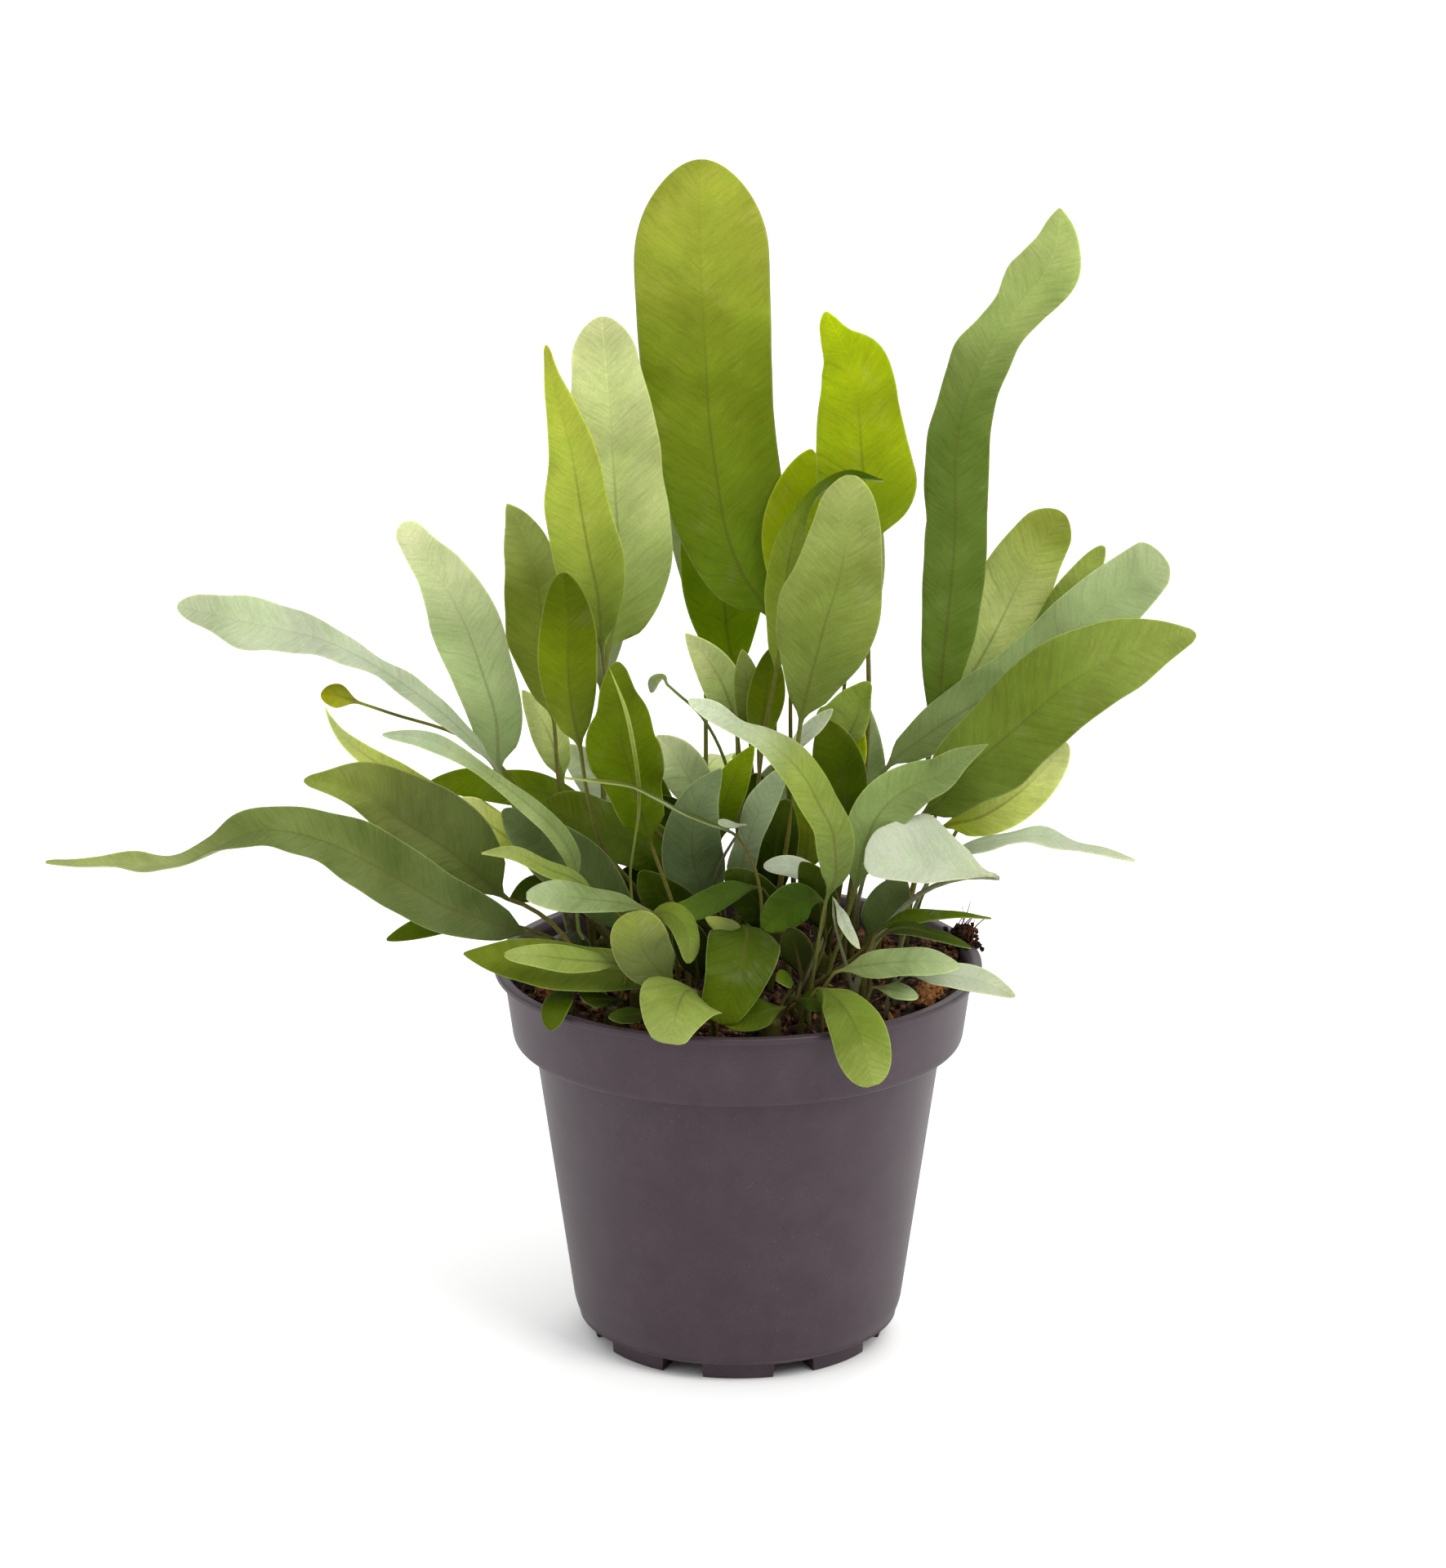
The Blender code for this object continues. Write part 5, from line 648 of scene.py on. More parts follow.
def half_widths(frond, t):
    """Left and right half-widths at shares t of the blade, as the part's source has them, with smooth sides."""
    if isinstance(frond.width, tuple):
        end = np.clip((t - 1 + frond.tip) / frond.tip, 0, 1)
        close = np.sqrt(1 - end**2)
        at = np.linspace(0, 1, len(frond.width[0]))
        sides = [np.array(side, float) for side in frond.width]
        return [hermite(t, at, side, np.gradient(side, at)) * close for side in sides]
    rise = np.sin(np.pi / 2 * np.clip(t / frond.belly, 0, 1)) ** 0.8
    beyond = np.clip((t - frond.belly) / (1 - frond.belly), 0, 1)
    fall = (1 - beyond ** (frond.tip + 0.6)) ** (1 / frond.tip)
    return [frond.width * rise * fall] * 2


def widest(frond):
    return max(map(max, frond.width)) if isinstance(frond.width, tuple) else frond.width


def facing_along(frond, t):
    """The direction that the upper face looks to, turning evenly through the frond's facing list."""
    facing = unit(np.array(frond.facing, float))
    if len(facing) == 1:
        return np.repeat(facing, len(t), axis=0)
    at = np.linspace(0, 1, len(facing))
    return unit(hermite(t, at, facing, np.gradient(facing, at, axis=0)))


def closed_grid(rows):
    """Faces of a closed skin over (rows, columns, 3) points, with a pole vertex at each end.

    Vertex r*columns + c is point (r, c), and quads join it to the next row and column, which wraps round.
    """
    count, columns = rows.shape[:2]
    vertices = np.concatenate([rows.reshape(-1, 3), rows[:1].mean(axis=1), rows[-1:].mean(axis=1)])
    r, c = np.meshgrid(np.arange(count - 1), np.arange(columns), indexing="ij")
    n = (c + 1) % columns
    quads = np.stack([r * columns + c, r * columns + n, (r + 1) * columns + n, (r + 1) * columns + c], axis=-1)
    c = np.arange(columns)
    n = (c + 1) % columns
    low = np.stack([np.full(columns, count * columns), n, c], axis=1)
    last = (count - 1) * columns
    high = np.stack([np.full(columns, count * columns + 1), last + c, last + n], axis=1)
    quads = quads.reshape(-1, 4)
    triangles = np.concatenate([low, high])
    a, b, d = (vertices[triangles[:, i]] for i in range(3))
    p, q, s, v = (vertices[quads[:, i]] for i in range(4))
    volume = (np.einsum("ij,ij->i", a, np.cross(b, d)).sum()
              + np.einsum("ij,ij->i", p, np.cross(q, s)).sum()
              + np.einsum("ij,ij->i", p, np.cross(s, v)).sum())
    if volume < 0:
        quads = quads[:, ::-1]
        triangles = triangles[:, ::-1]
    return vertices, quads, triangles


class Skin:
    """Collects closed skins, their point attributes and their material numbers into one mesh."""

    def __init__(self):
        self.vertices = []
        self.faces = []
        self.numbers = []
        self.place = []
        self.share = []
        self.count = 0

    def add(self, rows, number=0, place=None, share=None):
        """A closed skin over a grid of points; place and share hold three values for each of them."""
        vertices, quads, triangles = closed_grid(rows)
        layers = []
        for values in (place, share):
            if values is not None:
                ends = [values[:1].mean(axis=1), values[-1:].mean(axis=1)]
                values = np.concatenate([values.reshape(-1, 3)] + ends)
            layers.append(values)
        self.add_solid(vertices, quads.tolist() + triangles.tolist(), number, *layers)

    def add_solid(self, vertices, faces, number=0, place=None, share=None):
        """Vertices and faces that already close and point outwards."""
        self.vertices.append(vertices)
        self.faces += [[corner + self.count for corner in face] for face in faces]
        self.numbers.append(np.full(len(faces), number))
        for store, values in ((self.place, place), (self.share, share)):
            store.append(np.zeros((len(vertices), 3)) if values is None else values)
        self.count += len(vertices)

    def make(self, name, materials):
        """One smooth-shaded object at the origin from everything added."""
        mesh = bpy.data.meshes.new(name)
        mesh.from_pydata((np.concatenate(self.vertices) * MM).tolist(), [], self.faces)
        for made_of in materials:
            mesh.materials.append(made_of)
        mesh.polygons.foreach_set("material_index", np.concatenate(self.numbers).astype(np.int32))
        for label, store in (("place", self.place), ("share", self.share)):
            layer = mesh.attributes.new(label, "FLOAT_VECTOR", "POINT")
            layer.data.foreach_set("vector", np.concatenate(store).astype(np.float32).ravel())
        mesh.shade_smooth()
        thing = bpy.data.objects.new(name, mesh)
        bpy.context.scene.collection.objects.link(thing)
        return thing


def frond_surface(frond, phase, start, foot_z=None):
    """One frond as a grid of rows from foot to tip, with its place in mm and its shares.

    The stem is a circle of the radius. The blade's section is x = half-width * V across, and up and down it is the
    half-thickness closing at the margin plus a midrib exp(-(x/rib)^2). Fold bends the two halves up by |V|^1.4,
    and the margins wave by V^2 times a sine along the blade, with finer ripples that grow with |V|^3.
    """
    sizes = bpy.context.scene.fern_fronds
    radius = STEM_RADIUS + STEM_GROWTH * widest(frond)
    path = smooth_path([start] + list(frond.stem) + list(frond.blade))
    along = np.concatenate([[0], np.cumsum(np.linalg.norm(np.diff(path, axis=0), axis=1))])
    stem_length = along[np.argmin(np.linalg.norm(path - np.array(frond.blade[0], float), axis=1))]
    blade_length = along[-1] - stem_length
    young = widest(frond) < YOUNG_WIDTH
    half = np.array(YOUNG_HALF_ACROSS if young else HALF_ACROSS)
    upper = np.concatenate([half[::-1], -half[1:]])
    across = np.concatenate([upper, upper[-2:0:-1]])
    turn = np.linspace(0, 2 * np.pi, len(across), endpoint=False)
    top = turn < np.pi - 1e-6
    rim = np.abs(across) > 0.999
    blade_rows = int(np.clip(blade_length * (0.8 if young else 0.9), 26, 120))
    t = 1 - (1 - np.arange(blade_rows) / blade_rows) ** 1.5
    stem_rows = max(3, int(stem_length / 4))
    stem_t = np.linspace(-stem_length / blade_length, 0, stem_rows, endpoint=False)
    place, tangent = at_lengths(path, along, stem_length + np.concatenate([stem_t, t]) * blade_length)
    tangent[0] = (0, 0, 1)
    side = unit(np.cross(tangent[stem_rows:], facing_along(frond, t)))
    carried = side[0]
    stem_side = np.empty((stem_rows, 3))
    for i in range(stem_rows - 1, -1, -1):
        carried = unit(carried - tangent[i] * (carried @ tangent[i]))
        stem_side[i] = carried
    side = np.concatenate([stem_side, side])
    up = np.cross(side, tangent)
    if foot_z is not None:
        drop = np.array((0, 0, start[2] - foot_z))
        place = np.concatenate([[place[0] - drop], place])
        side = np.concatenate([side[:1], side])
        up = np.concatenate([up[:1], up])
        stem_t = np.concatenate([[stem_t[0] - drop[2] / blade_length], stem_t])
        stem_rows += 1
    share = np.concatenate([stem_t, t])
    t = np.clip(share, 0, 1)
    left, right = [np.maximum(w, radius * 1.1 * (1 - t)) for w in half_widths(frond, t)]
    stem_radius = radius * (1 + 0.6 * smooth_step(share / share[0], 0, 1))[:, None]
    wings = smooth_step(share * blade_length, 0, 7)[:, None]
    v = across[None, :]
    x = np.where(v < 0, left[:, None], right[:, None]) * v
    s = (share * blade_length)[:, None]
    fade = np.sin(np.pi * t)[:, None] ** 0.5
    flip = np.where(v > 0, 0.35, 0.0)
    wave = np.sin(2 * np.pi * (frond.waves * t[:, None] + phase + flip))
    ripple = np.sin(2 * np.pi * (s / sizes.ripple_gap * MM + 2.3 * phase + 1.7 * flip))
    pucker = np.sin(2 * np.pi * (s - 0.6 * np.abs(x)) / 8.5 + phase * 9) * np.abs(v) * (1 - v**2)
    height = (
        frond.fold * np.abs(x) * np.abs(v) ** 0.4
        + frond.ruffle * fade * wave * v**2
        + sizes.ripple / MM * min(1.0, frond.ruffle) * fade * ripple * np.abs(v) ** 3
        + sizes.pucker / MM * fade * pucker
    )
    rib = radius * 0.85 * (1 - t[:, None]) ** 0.8 + 0.05
    ridge = rib * np.exp(-((x / (rib + 0.25)) ** 2))
    sheet = sizes.thickness / MM / 2 * np.sqrt(np.clip(1 - v**8, 0, 1))
    blade_z = np.where(top, sheet + 0.12 * ridge, -sheet - ridge) * np.where(rim, 0, 1)
    flat_x = (1 - wings) * stem_radius * np.cos(turn) + wings * x
    flat_z = (1 - wings) * stem_radius * np.sin(turn) + wings * (blade_z + height)
    rows = place[:, None, :] + flat_x[..., None] * side[:, None, :] + flat_z[..., None] * up[:, None, :]
    under = np.broadcast_to(np.where(rim, 0.5, np.where(top, 0.0, 1.0)), x.shape)
    seed = np.full_like(x, (phase * 37) % 50)
    lengths = np.broadcast_to(s, x.shape)
    shares = np.broadcast_to(share[:, None], x.shape)
    return (rows, np.stack([x * wings, lengths, seed], axis=-1),
            np.stack([np.broadcast_to(v, x.shape) * wings, shares, under * wings], axis=-1))


def linear(color):
    """Linear values of an sRGB colour given as bytes."""
    share = np.array(color, float) / 255
    return tuple(np.where(share <= 0.04045, share / 12.92, ((share + 0.055) / 1.055) ** 2.4).tolist())


class Nodes:
    """Short calls that add nodes to one tree; a value may be a number, a colour or another node's output."""

    def __init__(self, tree):
        self.tree = tree

    def add(self, kind, inputs=(), **settings):
        made = self.tree.nodes.new(kind)
        for key, value in settings.items():
            setattr(made, key, value)
        for key, value in dict(inputs).items():
            self.put(made.inputs[key], value)
        return made

    def put(self, socket, value):
        if isinstance(value, bpy.types.NodeSocket):
            self.tree.links.new(value, socket)
        elif hasattr(value, "__len__") and len(value) == 3 and socket.type == "RGBA":
            socket.default_value = (*value, 1)
        else:
            socket.default_value = value

    def math(self, operation, a, b=0.0, c=0.0):
        return self.add("ShaderNodeMath", {0: a, 1: b, 2: c}, operation=operation).outputs[0]

    def around(self, value, amount, middle=1.0):
        """The middle plus the amount times how far a noise value lies from one half."""
        return self.math("MULTIPLY_ADD", value, amount, middle - amount / 2)

    def scaled(self, color, amount):
        return self.add("ShaderNodeVectorMath", {0: color, "Scale": amount}, operation="SCALE").outputs[0]

    def mix(self, share, a, b, blend="MIX"):
        made = self.add("ShaderNodeMix", {0: share, 6: a, 7: b}, data_type="RGBA", blend_type=blend)
        return made.outputs[2]

    def rise(self, value, low, high, to_low=0.0, to_high=1.0):
        """Smooth step of a value between two limits."""
        made = self.add("ShaderNodeMapRange", {0: value, 1: low, 2: high, 3: to_low, 4: to_high},
                        interpolation_type="SMOOTHSTEP")
        return made.outputs[0]

    def noise(self, vector, scale, detail=2.0, rough=0.5):
        made = self.add("ShaderNodeTexNoise",
                        {"Vector": vector, "Scale": scale, "Detail": detail, "Roughness": rough})
        return made.outputs[0]

    def vector(self, x, y, z=0.0):
        return self.add("ShaderNodeCombineXYZ", {0: x, 1: y, 2: z}).outputs[0]


def node_group(name, inputs, outputs):
    """A new shader node group with named sockets, its inputs and the nodes to fill it with."""
    group = bpy.data.node_groups.new(name, "ShaderNodeTree")
    for label, kind, value in inputs:
        socket = group.interface.new_socket(label, in_out="INPUT", socket_type=kind)
        if value is not None:
            socket.default_value = value
    for label, kind in outputs:
        group.interface.new_socket(label, in_out="OUTPUT", socket_type=kind)
    make = Nodes(group)
    return group, make, make.add("NodeGroupInput").outputs, make.add("NodeGroupOutput").inputs


def blade_pattern():
    """Veins, midrib, margin, bloom and mottling of a frond, from its place in mm and its shares; the pale band along
    the margin is a painted highlight, pale patches are painted sheen, and one half of each blade gets painted shade.
    """
    color = "NodeSocketColor"
    number = "NodeSocketFloat"
    group, make, given, out = node_group(
        "blade_pattern",
        [("Place", "NodeSocketVector", None), ("Share", "NodeSocketVector", None), ("Foot", color, None),
         ("Middle", color, None), ("Tip", color, None), ("Underside", color, None), ("Stem", color, None),
         ("Wax", color, None), ("Bloom", number, 0.2), ("Green Stem", number, 0.3), ("Vein Gap", number, 4.6),
         ("Veins", number, 1.0)],
        [("Color", color), ("Glow", color), ("Roughness", number), ("Height", number)],
    )
    x, s, seed = make.add("ShaderNodeSeparateXYZ", {0: given["Place"]}).outputs
    v, t, under = make.add("ShaderNodeSeparateXYZ", {0: given["Share"]}).outputs
    away = make.math("ABSOLUTE", x)
    broad = make.noise(make.vector(x, s, seed), 0.07, 2.0)
    warm = make.noise(make.vector(s, x, seed), 0.1, 3.0, 0.6)
    # painted shade: one half of each blade is made lighter or darker, as if its two halves met the light differently
    half = make.noise(make.vector(make.rise(x, -0.4, 0.4), seed), 1.7, 0.0)
    along_vein = make.math("SUBTRACT", s, make.math("MULTIPLY", away, 0.8))
    bent = make.math("ADD", along_vein, make.math("MULTIPLY", broad, 6.0))
    veinwards = make.vector(make.math("MULTIPLY", bent, 1.5), make.math("MULTIPLY", away, 0.2), seed)
    streak = make.noise(veinwards, 1.0, 4.0, 0.65)
    fine = make.noise(make.vector(x, s, seed), 1.3, 3.0, 0.6)
    turns = make.math("MULTIPLY", make.math("DIVIDE", bent, given["Vein Gap"]), 2 * math.pi)
    vein = make.math("POWER", make.math("MULTIPLY_ADD", make.math("COSINE", turns), 0.5, 0.5), 7.0)
    vein = make.math("MULTIPLY", vein, make.rise(away, 0.6, 3.0))
    body = make.mix(make.rise(t, 0.05, 0.5), given["Foot"], given["Middle"])
    body = make.mix(make.rise(t, 0.5, 0.95), body, given["Tip"])
    shade = make.math("MULTIPLY", make.around(streak, 0.6), make.around(broad, 0.75))
    shade = make.math("MULTIPLY", shade, make.around(fine, 0.35))
    # painted shade on one half of the blade
    shade = make.math("MULTIPLY", shade, make.around(half, 0.35))
    shade = make.math("MULTIPLY_ADD", make.math("MULTIPLY", vein, given["Veins"]), -0.05, shade)
    body = make.scaled(body, shade)
    leafy = make.mix(1.0, body, (0.92, 0.99, 0.88), "MULTIPLY")
    sunny = make.mix(1.0, body, (1.04, 1.03, 1.06), "MULTIPLY")
    body = make.mix(make.rise(warm, 0.3, 0.7), leafy, sunny)
    # painted sheen: pale patches in the wax colour that stand in for soft highlights on the blade
    painted_sheen = make.math("MULTIPLY", make.rise(warm, 0.55, 0.8), make.rise(streak, 0.3, 0.7))
    body = make.mix(make.math("MULTIPLY", painted_sheen, 0.12), body, given["Wax"])
    patch = make.math("ADD", broad, make.around(streak, 0.5, 0.0))
    wax = make.math("MULTIPLY", given["Bloom"], make.rise(patch, 0.2, 0.75, 0.35, 1.0))
    body = make.mix(make.math("MULTIPLY", wax, 0.55), body, given["Wax"])
    below = make.scaled(given["Underside"], make.math("MULTIPLY_ADD", shade, 0.6, 0.4))
    body = make.mix(make.math("MULTIPLY", under, 0.8), body, below)
    # painted highlight: the margin gets a pale band, from a mask that fades inwards from the rim
    width = make.math("DIVIDE", away, make.math("MAXIMUM", make.math("ABSOLUTE", v), 0.05))
    edge_way = make.math("SUBTRACT", width, away)
    edge = make.math("SUBTRACT", 1.0, make.rise(edge_way, 0.05, 0.45))
    edge = make.math("MULTIPLY", edge, make.rise(t, 0.0, 0.1))
    lit_edge = make.mix(1.0, body, (1.7, 1.6, 1.5), "MULTIPLY")
    body = make.mix(make.math("MULTIPLY", edge, 0.6), body, lit_edge)
    dots = make.add("ShaderNodeTexVoronoi", {"Vector": make.vector(x, s, seed), "Scale": 0.33}).outputs[0]
    near_edge = make.math("MULTIPLY", make.rise(edge_way, 0.4, 1.2), make.rise(edge_way, 2.6, 4.5, 1.0, 0.0))
    dot = make.math("MULTIPLY", make.rise(dots, 0.05, 0.1, 1.0, 0.0), near_edge)
    dot = make.math("MULTIPLY", dot, make.rise(given["Bloom"], 0.1, 0.5))
    body = make.mix(make.math("MULTIPLY", dot, 0.4), body, (0.62, 0.68, 0.5))
    rib = make.math("MAXIMUM", make.math("MULTIPLY_ADD", t, -0.4, 0.6), 0.2)
    line = make.rise(make.math("DIVIDE", away, rib), 0.35, 1.0, 1.0, 0.0)
    line = make.math("MULTIPLY", line, make.rise(t, 0.35, 0.9, 1.0, 0.0))
    line = make.math("MULTIPLY", line, make.rise(given["Bloom"], 0.1, 0.6, 0.8, 0.15))
    dark = make.mix(0.35, make.mix(1.0, body, (0.5, 0.5, 0.5), "MULTIPLY"), given["Stem"])
    body = make.mix(make.math("MULTIPLY", line, 0.75), body, dark)
    stem_share = make.rise(t, -0.05, 0.03, 1.0, 0.0)
    top_stem = make.mix(given["Green Stem"], given["Stem"], given["Foot"])
    stem = make.mix(make.rise(t, -0.9, -0.1), make.scaled(top_stem, 0.55), top_stem)
    stem = make.scaled(stem, make.around(fine, 0.8))
    body = make.mix(stem_share, body, stem)
    make.put(out["Color"], body)
    make.put(out["Glow"], make.mix(1.0, body, (1.0, 1.0, 0.55), "MULTIPLY"))
    rough = make.math("MULTIPLY_ADD", wax, 0.22, make.math("MULTIPLY_ADD", fine, 0.16, 0.33))
    make.put(out["Roughness"], make.math("MULTIPLY_ADD", under, 0.2, rough))
    relief = make.math("MULTIPLY_ADD", vein, -0.35, make.math("MULTIPLY", streak, 0.7))
    make.put(out["Height"], make.math("MULTIPLY_ADD", fine, 0.22, relief))
    return group


def grain_pattern():
    """Fine moulded grain with pale specks and soft scuffs, for the pot, by object place in metres."""
    color = "NodeSocketColor"
    number = "NodeSocketFloat"
    group, make, given, out = node_group(
        "grain_pattern",
        [("Place", "NodeSocketVector", None), ("Base", color, None), ("Dust", color, None),
         ("Dust Share", number, 0.15), ("Grain", number, 2600.0)],
        [("Color", color), ("Roughness", number), ("Height", number)],
    )
    place = given["Place"]
    fine = make.noise(place, given["Grain"], 2.0, 0.6)
    broad = make.noise(place, 26.0, 3.0, 0.55)
    scuff = make.noise(place, 110.0, 4.0, 0.65)
    specks = make.add("ShaderNodeTexVoronoi", {"Vector": place, "Scale": 420.0}).outputs[0]
    speck = make.math("MULTIPLY", make.rise(specks, 0.06, 0.16, 1.0, 0.0), make.rise(broad, 0.45, 0.7))
    worn = make.math("MULTIPLY_ADD", scuff, 0.6, make.math("MULTIPLY", broad, 0.5))
    dust = make.math("MULTIPLY", make.rise(worn, 0.45, 0.75), given["Dust Share"])
    body = make.mix(dust, given["Base"], given["Dust"])
    body = make.mix(make.math("MULTIPLY", speck, 0.3), body, given["Dust"])
    mottle = make.math("MULTIPLY", make.around(fine, 0.7), make.around(scuff, 0.5))
    make.put(out["Color"], make.scaled(body, mottle))
    rough = make.math("MULTIPLY_ADD", fine, 0.1, make.math("MULTIPLY_ADD", broad, 0.16, 0.34))
    make.put(out["Roughness"], rough)
    make.put(out["Height"], make.math("MULTIPLY_ADD", scuff, 0.35, fine))
    return group


def crumb_pattern():
    """Crumbly peat or scaly bark: broad patches, coarse grains and a few orange flecks, by object place."""
    color = "NodeSocketColor"
    number = "NodeSocketFloat"
    group, make, given, out = node_group(
        "crumb_pattern",
        [("Place", "NodeSocketVector", None), ("Dark", color, None), ("Light", color, None),
         ("Fleck", color, None), ("Fleck Share", number, 0.2), ("Grain", number, 700.0)],
        [("Color", color), ("Roughness", number), ("Height", number)],
    )
    place = given["Place"]
    grain = make.noise(place, given["Grain"], 5.0, 0.7)
    patch = make.noise(place, 110.0, 3.0, 0.6)
    cells = make.add("ShaderNodeTexVoronoi", {"Vector": place, "Scale": given["Grain"]})
    random = make.add("ShaderNodeSeparateColor", {0: cells.outputs["Color"]}).outputs[0]
    fleck = make.math("MULTIPLY", make.rise(random, 0.78, 0.84), given["Fleck Share"])
    mottle = make.math("MULTIPLY_ADD", grain, 0.6, make.math("MULTIPLY", patch, 0.4))
    body = make.mix(make.rise(mottle, 0.35, 0.7), given["Dark"], given["Light"])
    body = make.mix(fleck, body, given["Fleck"])
    make.put(out["Color"], body)
    make.put(out["Roughness"], make.math("MULTIPLY_ADD", grain, 0.2, 0.75))
    make.put(out["Height"], make.math("MULTIPLY_ADD", cells.outputs["Distance"], 0.6, grain))
    return group


def new_material(name):
    """A material with an emptied tree, its nodes, its Principled shader and its output."""
    made = bpy.data.materials.new(name)
    made.use_nodes = True
    made.node_tree.nodes.clear()
    make = Nodes(made.node_tree)
    shader = make.add("ShaderNodeBsdfPrincipled")
    output = make.add("ShaderNodeOutputMaterial")
    make.put(output.inputs["Surface"], shader.outputs[0])
    return made, make, shader, output


def grouped(make, group_maker, inputs):
    """A group node of the maker's group, which is built on its first use."""
    group = bpy.data.node_groups.get(group_maker.__name__) or group_maker()
    placed = make.add("ShaderNodeGroup", node_tree=group)
    for key, value in inputs.items():
        make.put(placed.inputs[key], value)
    return placed


def finish_shader(make, shader, pattern, bump, distance):
    """Feeds a pattern's colour, roughness and height to a Principled shader."""
    make.put(shader.inputs["Base Color"], pattern.outputs["Color"])
    make.put(shader.inputs["Roughness"], pattern.outputs["Roughness"])
    relief = make.add("ShaderNodeBump", {"Strength": bump, "Distance": distance,
                                         "Height": pattern.outputs["Height"]})
    make.put(shader.inputs["Normal"], relief.outputs[0])
    return relief


def frond_material(tone):
    """Leathery blade of one tone: a Principled shader mixed with light that comes through."""
    name = "blade_" + tone
    if bpy.data.materials.get(name):
        return bpy.data.materials[name]
    sizes = bpy.context.scene.fern_fronds
    foot, middle, tip, bloom, green = TONES[tone]
    made, make, shader, output = new_material(name)
    pattern = grouped(make, blade_pattern, {
        "Place": make.add("ShaderNodeAttribute", attribute_name="place").outputs["Vector"],
        "Share": make.add("ShaderNodeAttribute", attribute_name="share").outputs["Vector"],
        "Foot": linear(foot), "Middle": linear(middle), "Tip": linear(tip),
        "Underside": tuple(sizes.underside), "Stem": tuple(sizes.stem), "Wax": tuple(sizes.wax),
        "Bloom": bloom, "Green Stem": green, "Vein Gap": sizes.vein_gap / MM, "Veins": sizes.veins,
    })
    relief = finish_shader(make, shader, pattern, 0.35, 0.5 * MM)
    shader.inputs["Specular IOR Level"].default_value = 0.2
    shader.inputs["Specular Tint"].default_value = (1, 1, 0.35, 1)
    glow = make.add("ShaderNodeBsdfTranslucent",
                    {"Color": pattern.outputs["Glow"], "Normal": relief.outputs[0]})
    both = make.add("ShaderNodeMixShader", {0: sizes.through, 1: shader.outputs[0], 2: glow.outputs[0]})
    make.put(output.inputs["Surface"], both.outputs[0])
    return made


def pattern_material(name, group_maker, inputs, bump, distance, gloss=0.1):
    """A plain Principled material over one pattern in object coordinates."""
    made, make, shader, _ = new_material(name)
    inputs["Place"] = make.add("ShaderNodeTexCoord").outputs["Object"]
    finish_shader(make, shader, grouped(make, group_maker, inputs), bump, distance)
    shader.inputs["Specular IOR Level"].default_value = gloss
    return made, shader


def rounded_outline(points, steps=5):
    """A polyline of (radius, height, corner) with each corner cut back by its size and filled by a parabola."""
    points = np.array(points, float)
    out = [points[0, :2]]
    for before, here, after in zip(points[:-2], points[1:-1], points[2:]):
        to_before = before[:2] - here[:2]
        to_after = after[:2] - here[:2]
        cut = min(here[2], 0.45 * np.linalg.norm(to_before), 0.45 * np.linalg.norm(to_after))
        start = here[:2] + to_before / np.linalg.norm(to_before) * cut
        end = here[:2] + to_after / np.linalg.norm(to_after) * cut
        if cut < 0.01:
            out.append(here[:2])
            continue
        for u in np.linspace(0, 1, steps):
            out.append((1 - u) ** 2 * start + 2 * u * (1 - u) * here[:2] + u**2 * end)
    out.append(points[-1, :2])
    return np.array(out)


def foot_turns(radius):
    """Angles round the foot and whether each lies in a groove: columns crowd on a groove's two straight sides."""
    half_step = math.pi / GROOVES
    side = np.arcsin(GROOVE_WIDTH / 2 / np.maximum(radius, HUB_RADIUS))
    slip = 0.15 / np.maximum(radius, HUB_RADIUS)
    share = np.concatenate([np.linspace(-1, -0.51, 9), np.linspace(-0.49, 0.49, 9), np.linspace(0.51, 1, 9)[:-1]])
    angles = []
    for r_side, r_slip in zip(side, slip):
        knots = [-half_step, -r_side - r_slip, -r_side + r_slip, r_side - r_slip, r_side + r_slip, half_step]
        one = np.interp(share, [-1, -0.51, -0.49, 0.49, 0.51, 1], knots)
        angles.append(np.concatenate([one + 2 * half_step * (k + 0.5) for k in range(GROOVES)]))
    return np.array(angles), np.tile(np.abs(share) < 0.5, GROOVES)


